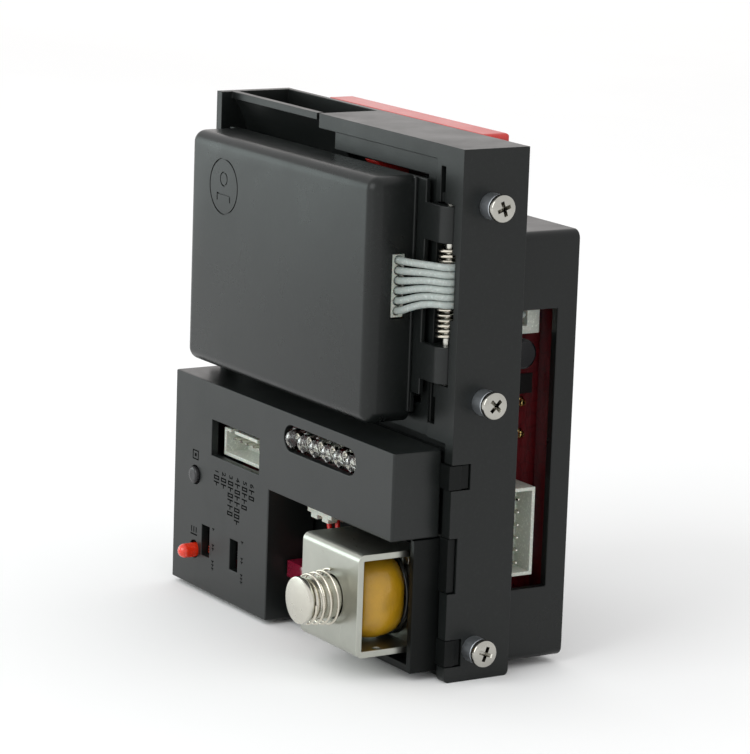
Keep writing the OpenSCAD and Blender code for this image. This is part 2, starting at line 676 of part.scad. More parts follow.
// two-pin plug above the solenoid, with its pair of leads
module solenoid_plug() placed() color([0.88, 0.9, 0.86]) difference() {
    union() {
        span([1, -5.2, 24.4], [10.2, 0.6, 31]);
        for (x = [2.4, 6.6]) span([x, -5.2, 23.5], [x + 2.4, -1, 24.5]);
    }
    for (x = [5.2, 8.4]) rod_z(x, -2.6, 23, 26.4, 0.75);
}

module solenoid_leads() placed() color([0.75, 0.1, 0.08]) {
    left = [[5.2, -2.6, 26], [5.2, -2.6, 23.2], [5.6, -2.7, 21.8], [7, -2.9, 20.2], [9.6, -3.2, 18.6],
        [12.8, -3.5, 17.2], [16, -3.8, 16.4], [19.33, -3.8, 16.2]];
    right = [[8.4, -2.6, 26], [8.4, -2.6, 23.2], [8.8, -2.7, 22.2], [10, -2.9, 21], [12, -3.2, 20],
        [14.4, -3.5, 19], [16.8, -3.8, 18.1], [19.68, -3.8, 17.8]];
    for (route = [left, right]) skin(wire_rings(route, 0.5, 8, [0, 1, 0]));
}

// small infrared exit sensor beside the solenoid
module exit_sensor() placed() color([0.4, 0.05, 0.08]) {
    span([leg_x + 0.3, -0.6, 6], [9, 0.6, 16]);
    span([leg_x + 0.5, -6.2, 9.8], [leg_x + 6.6, -0.5, 13.2]);
}

module accept_gate() placed() color([0.75, 0.75, 0.72]) {
    y = gate_yz[0] + 1;
    z = gate_yz[1];
    x0 = chute_x[0] + 0.6;
    x1 = chute_x[1] - 0.6;
    difference() {
        union() {
            rod_x(y, z, x0, x1, 1.6);
            span([x0, gate_yz[0] - 0.6, 8.4], [x1, gate_yz[0] + 0.6, z + 0.2]);
        }
        rod_x(y, z, x0 - 1, x1 + 1, gate_pin_r + 0.05);
    }
}

module gate_pin() placed() color("silver")
    rod_x(gate_yz[0] + 1, gate_yz[1], chute_x[0] - 1.4, chute_x[1] + 1.4, gate_pin_r);

// ---- door ----

// leaf and barrel of one hinge knuckle
module knuckle(z) {
    rod_z(pin_x, pin_y, z[0], z[1], barrel_r);
    span([rim_x - 2, pin_y - barrel_r, z[0]], [pin_x, -0.2, z[1]]);
}

module door_plate() placed() color([0.14, 0.15, 0.15]) difference() {
    union() {
        span([cover_x - 1, -1.2, 54], [rim_x, -0.2, rim_z[1]]);
        span([cover_x - 1, -1.2, rim_z[0]], [rim_x - 3, -0.2, 55]);
        span([pad_x[0], -0.3, pad_z[0]], [pad_x[1], pad_y, pad_z[1]]);
        for (z = knuckles) knuckle(z);
        // fin that the reject lever's finger pushes on
        slab_x(finger_x - 1.4, finger_x + 1.4)
            polygon([[-0.3, 79], [-0.3, 89.6], [6.4, 89.6], [6.4, 88.2], [4, 86]]);
    }
    for (z = knuckles) rod_z(pin_x, pin_y, z[0] - 1, z[1] + 1, pin_r + 0.05);
    // recess round the fin, and hollows that hold the sensor coils
    span([finger_x - 4, -0.2, 85], [finger_x - 1.4, pad_y + 1, pad_z[1] + 1]);
    span([finger_x + 1.4, -0.2, 85], [finger_x + 4, pad_y + 1, pad_z[1] + 1]);
    span([finger_x - 4, -0.2, 89.6], [finger_x + 4, pad_y + 3, pad_z[1] + 1]);
    for (p = coil_xz) rod_y(p[0], p[1], -3, 3, 8.2);
    for (p = door_bolts) rod_y(p[0], p[1], -3, 3.4, 1.1);
}

module door_cover() placed() color([0.28, 0.29, 0.29]) difference() {
    x1 = cover_x + cover_w;
    z1 = cover_z + cover_h;
    wall = 1.6;
    // the front edges are rounded in steps: share of the corner radius, and its depth
    hull() for (x = [cover_x + cover_r, x1 - cover_r]) for (z = [cover_z + cover_r, z1 - cover_r]) {
        for (step = [[0.2, 0], [0.6, 0.2], [0.85, 0.48]])
            rod_y(x, z, cover_y[0] + step[1] * cover_r, cover_y[0] + step[1] * cover_r + 0.05,
                step[0] * cover_r, $fn = 24);
        rod_y(x, z, cover_y[0] + cover_r, cover_y[1], cover_r, $fn = 24);
    }
    span([cover_x + wall, cover_y[0] + wall, cover_z + wall], [x1 - wall, cover_y[1] + 1, z1 - wall]);
    // slot for the ribbon cable in the right-hand wall
    span([x1 - wall - 1, -6.1, 68.2], [x1 + 1, -3.1, 80.7]);
}

module door_board() placed() color([0.42, 0.08, 0.1]) difference() {
    span([cover_x + 1.8, -2.4, cover_z + 2], [cover_x + cover_w - 1.8, -1.2, cover_z + cover_h - 1.8]);
    for (p = coil_xz) rod_y(p[0], p[1], -3, 0, 2);
    for (p = door_bolts) rod_y(p[0], p[1], -3, 0, 1.1);
}

module sensor_coils() placed() color([0.72, 0.4, 0.2])
    for (p = coil_xz) difference() {
        rod_y(p[0], p[1], -1.2, 2.8, 7.6);
        rod_y(p[0], p[1], -2, 1.6, 2.4);
    }

module door_screws() placed() color("silver")
    for (p = door_bolts) {
        rod_y(p[0], p[1], -3, 3, 1);
        rod_y(p[0], p[1], -3.8, -2.4, 1.9);
    }

module ribbon_plug() placed() color([0.8, 0.83, 0.8]) difference() {
    span([24.2, -6, 68.4], [30.2, -3.1, 80.5]);
    for (i = [0:wires - 1]) rod_x(-4.5, ribbon_z + (i - (wires - 1) / 2) * 1.95, plug_x, 31, 0.85);
}

// six wires from the door's plug, past the hinge spring and into the frame:
// spread is the pitch at the plug, bunch the pitch beside the spring
module ribbon_cable() placed() color([0.66, 0.69, 0.68]) {
    spread = 1.95;
    bunch = 1.42;
    bunch_z = ribbon_z + 1.5;
    socket = [73.8, 2];
    inner = [[41.8, 2.5, 0.05], [41.5, 5, 0.2], [40.8, 8, 0.4], [39.9, 11, 0.65], [39.3, 13.6, 0.85],
        [39.05, 15.6, 0.97], [38.85, 17.3, 1], [38.2, 18.6, 1], [37.2, 18.9, 1], [35.4, 18.9, 1]];
    for (i = [0:wires - 1]) {
        k = i - (wires - 1) / 2;
        z0 = ribbon_z + k * spread;
        z1 = bunch_z + k * bunch;
        z2 = socket[0] + k * socket[1];
        outer = [[28.4, -4.5, 0], [30, -4.5, 0.02], [31.6, -4.4, 0.14], [33.5, -4, 0.4], [35.5, -3.4, 0.68],
            [37.5, -2.7, 0.88], [39, -2.1, 0.96], [40.4, -1.6, 1], [41.4, -0.8, 1], [41.8, 0.6, 1]];
        skin(wire_rings(concat(
            [for (p = outer) [p[0], p[1], z0 + (z1 - z0) * p[2]]],
            [for (p = inner) [p[0], p[1], z1 + (z2 - z1) * p[2]]]), wire_r, 8, [0, 0, 1]));
    }
}

module hinge_pin() placed() color("silver") rod_z(pin_x, pin_y, pin_z[0], pin_z[1], pin_r);

module hinge_spring() placed() color([0.75, 0.73, 0.68]) {
    wire = 0.34;
    turns = 17.5;
    translate([pin_x, pin_y, spring_z[0]])
        skin(coil_rings(2.05, 2.05, wire, turns, spring_z[1] - spring_z[0], 14, 6));
}

// ---- reject lever ----

module reject_lever() placed() color([0.85, 0.14, 0.1]) difference() {
    wall = 1.2;
    top = 2;
    finger_z = [90, 95.2];
    finger = [finger_x - 2.4, finger_x + 2.4];
    union() {
        span([lever_x[0], lever_y[0], lever_z], [lever_x[1], lever_y[1], frame_h]);
        for (cx = leg_xs) span([cx - 2, 16.1, 78], [cx + 2, 19.1, lever_z + eps]);
        // finger and its wedge, which push the door open
        span([finger[0], floor_y + 1, finger_z[0]], [finger[1], lever_y[0] + eps, finger_z[1]]);
        slab_x(finger[0], finger[1]) polygon([[floor_y + 2, finger_z[0]], [6.4, finger_z[0]],
            [1.2, finger_z[1]], [floor_y + 2, finger_z[1]]]);
    }
    hollows = [[lever_x[0] + wall, leg_xs[0] - 2], [leg_xs[0] + 2, leg_xs[1] - 2],
        [leg_xs[1] + 2, lever_x[1] - wall]];
    for (x = hollows)
        span([x[0], lever_y[0] + wall, lever_z - 1], [x[1], lever_y[1] - wall, frame_h - top]);
    for (cx = leg_xs) span([cx - 1, 17, 77], [cx + 1, 18.2, 84]);
}

module lever_spring() placed() color("silver") {
    wire = 0.2;
    gap = wire + 0.02;
    z0 = rear_top + gap;
    top = frame_h - 2 - gap;
    translate([0, lever_mid, z0]) skin(coil_rings(1.25, 1.25, wire, 7, top - z0, 14, 6));
}

main_frame();
coin_track();
rear_housing();
housing_screws();
rear_board();
side_header();
side_header_pins();
ribbon_socket();
filter_capacitor();
contact_posts();
driver_chip();
stud_collars();
stud_screws();
control_box();
control_base();
control_board();
control_screws();
front_header();
front_header_pins();
display_leds();
status_led();
teach_switch();
teach_button();
speed_switch();
speed_slider();
pulse_switch();
pulse_slider();
solenoid_bracket();
solenoid_screws();
bobbin();
coil_winding();
fixed_core();
plunger();
plunger_spring();
solenoid_plug();
solenoid_leads();
exit_sensor();
accept_gate();
gate_pin();
door_plate();
door_cover();
door_board();
sensor_coils();
door_screws();
ribbon_plug();
ribbon_cable();
hinge_pin();
hinge_spring();
reject_lever();
lever_spring();
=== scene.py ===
"""Looks of a coin acceptor: moulded parts, door, solenoid, lamps, wiring and stage."""

import json
import math

import bmesh
import bpy
from bpy.props import FloatProperty, FloatVectorProperty, IntProperty, PointerProperty
from mathutils import Matrix, Vector


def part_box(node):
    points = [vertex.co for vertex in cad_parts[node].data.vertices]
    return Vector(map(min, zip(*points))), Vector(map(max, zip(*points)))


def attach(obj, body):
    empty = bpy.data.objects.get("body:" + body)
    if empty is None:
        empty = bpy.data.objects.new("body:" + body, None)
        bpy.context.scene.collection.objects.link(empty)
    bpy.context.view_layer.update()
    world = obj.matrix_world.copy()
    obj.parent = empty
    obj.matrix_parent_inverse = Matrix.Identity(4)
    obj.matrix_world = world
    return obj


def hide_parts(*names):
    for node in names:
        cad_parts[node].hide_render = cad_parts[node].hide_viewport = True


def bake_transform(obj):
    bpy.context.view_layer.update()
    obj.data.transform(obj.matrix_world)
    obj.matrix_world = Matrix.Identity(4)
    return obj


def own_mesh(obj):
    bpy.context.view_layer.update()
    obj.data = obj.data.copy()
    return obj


bl_info = {
    "name": "Coin Acceptor",
    "version": (1, 0, 0),
    "blender": (4, 5, 0),
    "location": "View3D > Sidebar > Coin Acceptor",
    "description": "Builds the looks of a coin acceptor around its packed CAD frame",
    "category": "Object",
}

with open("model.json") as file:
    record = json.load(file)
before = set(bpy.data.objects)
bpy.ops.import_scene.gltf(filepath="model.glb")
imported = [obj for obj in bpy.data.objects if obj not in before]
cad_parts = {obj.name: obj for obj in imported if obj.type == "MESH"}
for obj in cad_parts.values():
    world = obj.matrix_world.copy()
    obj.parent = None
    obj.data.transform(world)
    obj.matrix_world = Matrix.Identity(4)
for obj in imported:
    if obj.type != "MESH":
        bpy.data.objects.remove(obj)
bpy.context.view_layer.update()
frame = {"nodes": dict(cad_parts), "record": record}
SLOT_OF = {part["node"]: part["material_slot"] for part in frame["record"]["subparts"]}

MM = 0.001
FRONT_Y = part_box("door_plate")[0].y + 1.2 * MM  # front plane of the frame's flanges
X, Y, Z = Vector((1, 0, 0)), Vector((0, 1, 0)), Vector((0, 0, 1))
SMOOTH_ANGLE = math.radians(35)
PIN_COUNT = 6
PIN_HALF = 0.32 * MM  # half of a header pin's width
STUD_RADIUS = 2.5  # the studs' sizes are in millimetres
STUD_REACH = 4.5  # from the flange to the end of the screw head
MIDDLE_STUD = 54.1  # height of the middle studs
WIRE_COUNT = 6
WIRE_RADIUS = 0.7
LEAD_RADIUS = 0.5
CAMERA_PLACE = (0.59059, -0.36178, 0.19358)  # metres
CAMERA_TURN = (57.98, 11.65, 2.01)  # azimuth, elevation and roll in degrees
FINISHES = {}


# ---- places and meshes ----


def at(x, y, z):
    """A point in metres, from millimetres with y counted from the front plane."""
    return Vector((x * MM, FRONT_Y + y * MM, z * MM))


def middle(node):
    """The middle of a CAD node's box."""
    low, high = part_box(node)
    return (low + high) / 2


def add_piece(bm, name, body, finish, replaces=()):
    """Turns a bmesh into a finished piece that rides on a body."""
    mesh = bpy.data.meshes.new(name)
    bm.to_mesh(mesh)
    bm.free()
    return add_mesh(mesh, name, body, finish, replaces)


def add_mesh(mesh, name, body, finish, replaces=()):
    """Links a mesh as a piece with its finish, shading and body."""
    mesh.materials.clear()
    mesh.materials.append(FINISHES[finish])
    mesh.polygons.foreach_set("use_smooth", [True] * len(mesh.polygons))
    mesh.set_sharp_from_angle(angle=SMOOTH_ANGLE)
    mesh.update()
    piece = bpy.data.objects.new(name, mesh)
    bpy.context.scene.collection.objects.link(piece)
    if body:
        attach(piece, body)
    if replaces:
        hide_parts(*replaces)
    return piece


def baked(piece):
    """The piece's mesh with its modifiers applied."""
    depsgraph = bpy.context.evaluated_depsgraph_get()
    return bpy.data.meshes.new_from_object(piece.evaluated_get(depsgraph), depsgraph=depsgraph)


def drop(piece):
    """Removes a helper object."""
    bpy.data.objects.remove(piece)


def block(bm, low, high, radius=0.0, segments=2):
    """A box between two corners with rounded edges, added to a bmesh."""
    size = high - low
    place = Matrix.Translation((low + high) / 2) @ Matrix.Diagonal((*size, 1))
    verts = bmesh.ops.create_cube(bm, size=1, matrix=place)["verts"]
    if radius > 0:
        edges = list({edge for vert in verts for edge in vert.link_edges})
        bmesh.ops.bevel(bm, geom=edges, offset=radius, offset_type="OFFSET", segments=segments,
                        profile=0.5, affect="EDGES", clamp_overlap=True, material=-1)


def turned(bm, profile, origin, axis, steps=32):
    """A solid of revolution from (radius, distance) pairs in millimetres along an axis."""
    verts = [bm.verts.new((r * MM, 0, h * MM)) for r, h in profile]
    edges = [bm.edges.new(pair) for pair in zip(verts, verts[1:])]
    made = bmesh.ops.spin(bm, geom=verts + edges, cent=(0, 0, 0), axis=(0, 0, 1),
                          angle=math.tau, steps=steps, use_merge=True, use_duplicate=False)
    todo = verts + [item for item in made["geom_last"] if isinstance(item, bmesh.types.BMVert)]
    seen = set()
    while todo:
        vert = todo.pop()
        if vert in seen or not vert.is_valid:
            continue
        seen.add(vert)
        todo += [edge.other_vert(vert) for edge in vert.link_edges]
    shape = list(seen)
    bmesh.ops.remove_doubles(bm, verts=shape, dist=1e-7)
    shape = [v for v in shape if v.is_valid]
    faces = list({face for vert in shape for face in vert.link_faces})
    bmesh.ops.recalc_face_normals(bm, faces=faces)
    turn = Z.rotation_difference(Vector(axis)).to_matrix().to_4x4()
    bmesh.ops.transform(bm, matrix=Matrix.Translation(origin) @ turn, verts=shape)
    return shape


def prism(bm, outline, push):
    """An outline of points pushed along a vector into a solid."""
    face = bm.faces.new([bm.verts.new(point) for point in outline])
    made = bmesh.ops.extrude_face_region(bm, geom=[face])["geom"]
    verts = [item for item in made if isinstance(item, bmesh.types.BMVert)]
    bmesh.ops.translate(bm, vec=push, verts=verts)
    faces = list({f for vert in verts + list(face.verts) for f in vert.link_faces})
    bmesh.ops.recalc_face_normals(bm, faces=faces)
    return faces


def spring(bm, radius, wire, turns, height, origin, axis, steps=20, sides=8):
    """A coil spring along an axis, sizes in millimetres."""
    place = Matrix.Translation((radius * MM, 0, 0)) @ Matrix.Rotation(math.pi / 2, 4, "X")
    ring = bmesh.ops.create_circle(bm, cap_ends=True, radius=wire * MM, segments=sides, matrix=place)
    start = ring["verts"]
    face = start[0].link_faces[0]
    count = int(turns * steps)
    bmesh.ops.spin(bm, geom=list(start) + list(face.edges) + [face], cent=(0, 0, 0), axis=(0, 0, 1),
                   dvec=(0, 0, height * MM / count), angle=math.tau * turns, steps=count,
                   use_merge=False, use_duplicate=False)
    shape = list(bm.verts)
    bmesh.ops.recalc_face_normals(bm, faces=list(bm.faces))
    turn = Z.rotation_difference(Vector(axis)).to_matrix().to_4x4()
    bmesh.ops.transform(bm, matrix=Matrix.Translation(origin) @ turn, verts=shape)


def wire_mesh(routes, radius, name, sides=4, resolution=8):
    """One mesh of round wires, each a smooth curve through its points."""
    curve = bpy.data.curves.new(name, "CURVE")
    curve.dimensions = "3D"
    curve.bevel_depth = radius * MM
    curve.bevel_resolution = sides
    curve.use_fill_caps = True
    curve.resolution_u = resolution
    for route in routes:
        line = curve.splines.new("BEZIER")
        line.bezier_points.add(len(route) - 1)
        for spot, point in zip(line.bezier_points, route):
            spot.co = point
            spot.handle_left_type = spot.handle_right_type = "AUTO"
    helper = bpy.data.objects.new(name, curve)
    bpy.context.scene.collection.objects.link(helper)
    mesh = baked(helper)
    drop(helper)
    bm = bmesh.new()
    bm.from_mesh(mesh)
    bmesh.ops.remove_doubles(bm, verts=bm.verts, dist=1e-6)
    bmesh.ops.recalc_face_normals(bm, faces=bm.faces)
    return bm


def softened(node, name, finish, radius, segments=2, rule=None, limit=35):
    """A CAD node's copy with rounded edges, standing for the node."""
    bm = bmesh.new()
    bm.from_mesh(frame["nodes"][node].data)
    for layer in list(bm.loops.layers.float_vector.values()):
        bm.loops.layers.float_vector.remove(layer)
    bmesh.ops.remove_doubles(bm, verts=bm.verts, dist=2e-6)
    bmesh.ops.dissolve_limit(bm, angle_limit=math.radians(0.6), verts=bm.verts, edges=bm.edges)
    weights = bm.edges.layers.float.new("bevel_weight_edge")
    for edge in bm.edges:
        if len(edge.link_faces) == 2 and edge.calc_face_angle(0) > math.radians(limit):
            edge[weights] = 1.0 if rule is None else rule((edge.verts[0].co + edge.verts[1].co) / 2, edge)
    piece = add_piece(bm, name, body_of(node), finish, (node,))
    rounding = piece.modifiers.new("Rounding", "BEVEL")
    rounding.width = radius * MM
    rounding.segments = segments
    rounding.limit_method = "WEIGHT"
    rounding.use_clamp_overlap = False
    rounding.harden_normals = True
    return piece


def body_of(node):
    """The body that a CAD node rides on."""
    for body, members in frame["record"]["behaviour"]["bodies"].items():
        if node in members:
            return body
    raise ValueError(node)


def carved(piece, cutters):
    """Cuts helper meshes out of a piece for good, one after the other."""
    for bm in cutters:
        bmesh.ops.recalc_face_normals(bm, faces=bm.faces)
        cutter = helper_object(bm, "cutter")
        cut = piece.modifiers.new("Cut", "BOOLEAN")
        cut.operation = "DIFFERENCE"
        cut.solver = "EXACT"
        cut.object = cutter
        mesh = baked(piece)
        piece.modifiers.remove(cut)
        piece.data = mesh
        drop(cutter)
    piece.data.polygons.foreach_set("use_smooth", [True] * len(piece.data.polygons))
    piece.data.set_sharp_from_angle(angle=SMOOTH_ANGLE)


def helper_object(bm, name):
    """A bare object from a bmesh, used as a cutter."""
    mesh = bpy.data.meshes.new(name)
    bm.to_mesh(mesh)
    bm.free()
    helper = bpy.data.objects.new(name, mesh)
    bpy.context.scene.collection.objects.link(helper)
    return helper


# ---- shader groups and materials ----


def group_with(name, inputs, outputs):
    """A shader node group with float or vector sockets."""
    tree = bpy.data.node_groups.new(name, "ShaderNodeTree")
    for label, kind, value in inputs:
        socket = tree.interface.new_socket(name=label, in_out="INPUT", socket_type=kind)
        if value is not None:
            socket.default_value = value
    for label, kind in outputs:
        tree.interface.new_socket(name=label, in_out="OUTPUT", socket_type=kind)
    return tree, tree.nodes.new("NodeGroupInput"), tree.nodes.new("NodeGroupOutput")


def node_in(tree, kind, links=None, **choices):
    """A shader node with its choices set, and its inputs linked to a socket or given a value."""
    node = tree.nodes.new(kind)
    for key, value in choices.items():
        setattr(node, key, value)
    for socket, source in (links or {}).items():
        if isinstance(source, bpy.types.NodeSocket):
            tree.links.new(source, node.inputs[socket])
        else:
            node.inputs[socket].default_value = source
    return node


def make_grain_group():
    """Fine moulded grain: a height and a speck mask."""
    tree, source, sink = group_with(
        "MouldGrain",
        [("Vector", "NodeSocketVector", None), ("Size", "NodeSocketFloat", 2500.0),
         ("Coarse", "NodeSocketFloat", 0.35)],
        [("Height", "NodeSocketFloat"), ("Speck", "NodeSocketFloat")])
    fine = node_in(tree, "ShaderNodeTexNoise", {"Vector": source.outputs["Vector"],
                                                "Scale": source.outputs["Size"],
                                                "Detail": 3.0, "Roughness": 0.65})
    third = node_in(tree, "ShaderNodeMath", {0: source.outputs["Size"], 1: 0.3}, operation="MULTIPLY")
    coarse = node_in(tree, "ShaderNodeTexNoise", {"Vector": source.outputs["Vector"],
                                                  "Scale": third.outputs[0],
                                                  "Detail": 2.0})
    weighted = node_in(tree, "ShaderNodeMath", {0: coarse.outputs["Fac"], 1: source.outputs["Coarse"]},
                       operation="MULTIPLY")
    height = node_in(tree, "ShaderNodeMath", {0: fine.outputs["Fac"], 1: weighted.outputs[0]},
                     operation="ADD")
    speck = node_in(tree, "ShaderNodeMapRange", {"Value": fine.outputs["Fac"], "From Min": 0.52,
                                                 "From Max": 0.72})
    tree.links.new(height.outputs[0], sink.inputs["Height"])
    tree.links.new(speck.outputs["Result"], sink.inputs["Speck"])


def make_handling_group():
    """Broad uneven gloss left by handling."""
    tree, source, sink = group_with("HandlingMarks", [("Vector", "NodeSocketVector", None),
                                                      ("Size", "NodeSocketFloat", 60.0)],
                                    [("Smudge", "NodeSocketFloat")])
    broad = node_in(tree, "ShaderNodeTexNoise", {"Vector": source.outputs["Vector"],
                                                 "Scale": source.outputs["Size"],
                                                 "Detail": 5.0, "Roughness": 0.6, "Distortion": 0.4})
    smudge = node_in(tree, "ShaderNodeMapRange", {"Value": broad.outputs["Fac"], "From Min": 0.35,
                                                  "From Max": 0.68})
    tree.links.new(smudge.outputs["Result"], sink.inputs["Smudge"])


def make_brush_group():
    """Drawn or rolled metal: long fine lines along one direction."""
    tree, source, sink = group_with(
        "DrawnLines",
        [("Vector", "NodeSocketVector", None), ("Size", "NodeSocketFloat", 1.0)],
        [("Height", "NodeSocketFloat"), ("Tone", "NodeSocketFloat")])
    lines = node_in(tree, "ShaderNodeTexNoise", {"Vector": source.outputs["Vector"],
                                                 "Scale": source.outputs["Size"],
                                                 "Detail": 4.0, "Roughness": 0.7})
    tone = node_in(tree, "ShaderNodeMapRange", {"Value": lines.outputs["Fac"], "From Min": 0.3,
                                                "From Max": 0.7})
    tree.links.new(lines.outputs["Fac"], sink.inputs["Height"])
    tree.links.new(tone.outputs["Result"], sink.inputs["Tone"])


def start_finish(name, **values):
    """A Principled material with its plain values set on the shader."""
    material = bpy.data.materials.new(name)
    material.use_nodes = True
    shader = material.node_tree.nodes["Principled BSDF"]
    for label, value in values.items():
        shader.inputs[label.replace("_", " ")].default_value = value
    place = material.node_tree.nodes.new("ShaderNodeTexCoord")
    FINISHES[name] = material
    return material.node_tree, shader, place.outputs["Object"]


def use_group(tree, group, vector, **values):
    """A placed node group reading a vector."""
    node = tree.nodes.new("ShaderNodeGroup")
    node.node_tree = bpy.data.node_groups[group]
    tree.links.new(vector, node.inputs["Vector"])
    for label, value in values.items():
        node.inputs[label].default_value = value
    return node


def vary(tree, shader, socket, factor, low, high):
    """A value or a colour between two ends, by a mask."""
    if isinstance(low, tuple):
        mix = node_in(tree, "ShaderNodeMix", data_type="RGBA")
        mix.inputs[6].default_value = (*low, 1)
        mix.inputs[7].default_value = (*high, 1)
        tree.links.new(factor, mix.inputs[0])
        tree.links.new(mix.outputs[2], shader.inputs[socket])
        return mix.outputs[2]
    spread = node_in(tree, "ShaderNodeMapRange", {"Value": factor, "To Min": low, "To Max": high})
    tree.links.new(spread.outputs["Result"], shader.inputs[socket])
    return spread.outputs["Result"]


def bump(tree, shader, height, strength, distance, edge=0.0):
    """Feeds the shader's normal from a height, over edges rounded by an edge radius in millimetres."""
    node = node_in(tree, "ShaderNodeBump", {"Height": height, "Strength": strength, "Distance": distance})
    if edge:
        soft = node_in(tree, "ShaderNodeBevel", {"Radius": edge * MM})
        soft.samples = 6
        tree.links.new(soft.outputs["Normal"], node.inputs["Normal"])
    tree.links.new(node.outputs["Normal"], shader.inputs["Normal"])


def tone(colour, scale):
    """A colour made lighter or darker."""
    return tuple(min(1.0, c * scale) for c in colour)


def moulded(name, colour, rough, grain_size, grain_depth, spread=0.10, edge=0.0, **values):
    """Moulded plastic: fine grain, uneven gloss and a little dust."""
    tree, shader, place = start_finish(name, **values)
    grain = use_group(tree, "MouldGrain", place, Size=grain_size)
    marks = use_group(tree, "HandlingMarks", place, Size=70.0)
    vary(tree, shader, "Base Color", grain.outputs["Speck"], tone(colour, 0.85), tone(colour, 1.25))
    vary(tree, shader, "Roughness", marks.outputs["Smudge"], rough - spread / 2, rough + spread / 2)
    bump(tree, shader, grain.outputs["Height"], 0.6, grain_depth * MM, edge)


def metal(name, colour, rough, stretch, depth, spread=0.12, **values):
    """Plated or drawn metal with fine lines and handling marks."""
    tree, shader, place = start_finish(name, Metallic=1.0, **values)
    along = node_in(tree, "ShaderNodeMapping", {"Vector": place, "Scale": stretch})
    lines = use_group(tree, "DrawnLines", along.outputs["Vector"], Size=1.0)
    marks = use_group(tree, "HandlingMarks", place, Size=180.0)
    vary(tree, shader, "Base Color", marks.outputs["Smudge"], tone(colour, 0.9), colour)
    vary(tree, shader, "Roughness", lines.outputs["Tone"], rough - spread / 2, rough + spread / 2)
    bump(tree, shader, lines.outputs["Height"], 0.3, depth * MM)


def make_board_finish(name, colour):
    """Glossy solder mask with faint broad tracks under it."""
    tree, shader, place = start_finish(name, Coat_Weight=0.5, Coat_Roughness=0.12)
    tracks = node_in(tree, "ShaderNodeTexVoronoi", {"Vector": place, "Scale": 420.0}, distance="MANHATTAN",
                     feature="DISTANCE_TO_EDGE")
    mask = node_in(tree, "ShaderNodeMapRange", {"Value": tracks.outputs["Distance"], "From Min": 0.03,
                                                "From Max": 0.1})
    grain = use_group(tree, "MouldGrain", place, Size=4000.0)
    vary(tree, shader, "Base Color", mask.outputs["Result"], tone(colour, 0.72), colour)
    vary(tree, shader, "Roughness", grain.outputs["Speck"], 0.3, 0.42)
    bump(tree, shader, mask.outputs["Result"], 0.25, 0.03 * MM)


def make_tape_finish(name, colour):
    """Thin glossy tape wound over the coil, with overlaps and wrinkles."""
    tree, shader, place = start_finish(name, Coat_Weight=0.35, Coat_Roughness=0.2, Subsurface_Weight=0.08,
                                       Subsurface_Scale=0.001)
    around = node_in(tree, "ShaderNodeMapping", {"Vector": place, "Scale": (260.0, 620.0, 260.0)})
    folds = use_group(tree, "DrawnLines", around.outputs["Vector"], Size=1.0)
    broad = use_group(tree, "HandlingMarks", place, Size=130.0)
    vary(tree, shader, "Base Color", broad.outputs["Smudge"], tone(colour, 0.72), colour)
    vary(tree, shader, "Roughness", folds.outputs["Tone"], 0.25, 0.45)
    bump(tree, shader, folds.outputs["Height"], 0.5, 0.25 * MM)


def make_clear_finish(name, colour, rough):
    """Cast epoxy of a lamp: clear, with slight unevenness."""
    tree, shader, place = start_finish(name, Transmission_Weight=1.0, IOR=1.5)
    shader.inputs["Base Color"].default_value = (*colour, 1)
    marks = use_group(tree, "HandlingMarks", place, Size=900.0)
    vary(tree, shader, "Roughness", marks.outputs["Smudge"], rough, rough + 0.05)


# ---- settings ----


class MouldingSettings(bpy.types.PropertyGroup):
    """Black mouldings of the frame, housing and door."""

    black: FloatVectorProperty(name="Moulded black", description="Colour of the black plastic",
                               subtype="COLOR",
                               default=(0.0075, 0.0090, 0.0086), min=0, max=1)
    red: FloatVectorProperty(name="Lever red", description="Colour of the reject lever", subtype="COLOR",
                             default=(0.56, 0.022, 0.016), min=0, max=1)
    grain: FloatProperty(name="Grain depth", description="Depth of the moulded grain in millimetres",
                         default=0.03, min=0, max=0.2)
    rounding: FloatProperty(name="Edge rounding", description="Radius of a moulding's edges in millimetres",
                            default=0.25, min=0.05, max=0.6)


class MetalSettings(bpy.types.PropertyGroup):
    """Plated steel, springs and screws."""

    zinc: FloatVectorProperty(name="Zinc", description="Colour of the plated bracket", subtype="COLOR",
                              default=(0.46, 0.47, 0.42), min=0, max=1)
    nickel: FloatVectorProperty(name="Nickel", description="Colour of the plated studs", subtype="COLOR",
                                default=(0.46, 0.45, 0.41), min=0, max=1)
    hinge_wire: FloatProperty(name="Hinge spring wire",
                              description="Radius of the hinge spring's wire in millimetres",
                              default=0.34, min=0.2, max=0.4)


class WiringSettings(bpy.types.PropertyGroup):
    """Connectors, cable and boards."""

    nylon: FloatVectorProperty(name="Nylon", description="Colour of the connector bodies", subtype="COLOR",
                               default=(0.62, 0.65, 0.58), min=0, max=1)
    cable: FloatVectorProperty(name="Cable grey", description="Colour of the ribbon's wires", subtype="COLOR",
                               default=(0.36, 0.40, 0.38), min=0, max=1)
    board: FloatVectorProperty(name="Board red", description="Colour of the circuit boards", subtype="COLOR",
                               default=(0.115, 0.006, 0.009), min=0, max=1)
    tape: FloatVectorProperty(name="Tape yellow", description="Colour of the coil's tape", subtype="COLOR",
                              default=(0.50, 0.27, 0.006), min=0, max=1)


class StageSettings(bpy.types.PropertyGroup):
    """Camera, floor and lights."""

    lens: FloatProperty(name="Lens", description="Focal length in millimetres", default=171.2, min=50,
                        max=300)
    ambient: FloatProperty(name="Ambient", description="Strength of the even white surroundings",
                           default=0.95, min=0, max=3)
    key: FloatProperty(name="Key light", description="Power of the large front light", unit="POWER",
                       default=9.0, min=0)
    top: FloatProperty(name="Back light", description="Power of the warm light behind", unit="POWER",
                       default=0.6, min=0)
    card: FloatProperty(name="Left card", description="Power of the cool card on the left", unit="POWER",
                        default=0.8, min=0)


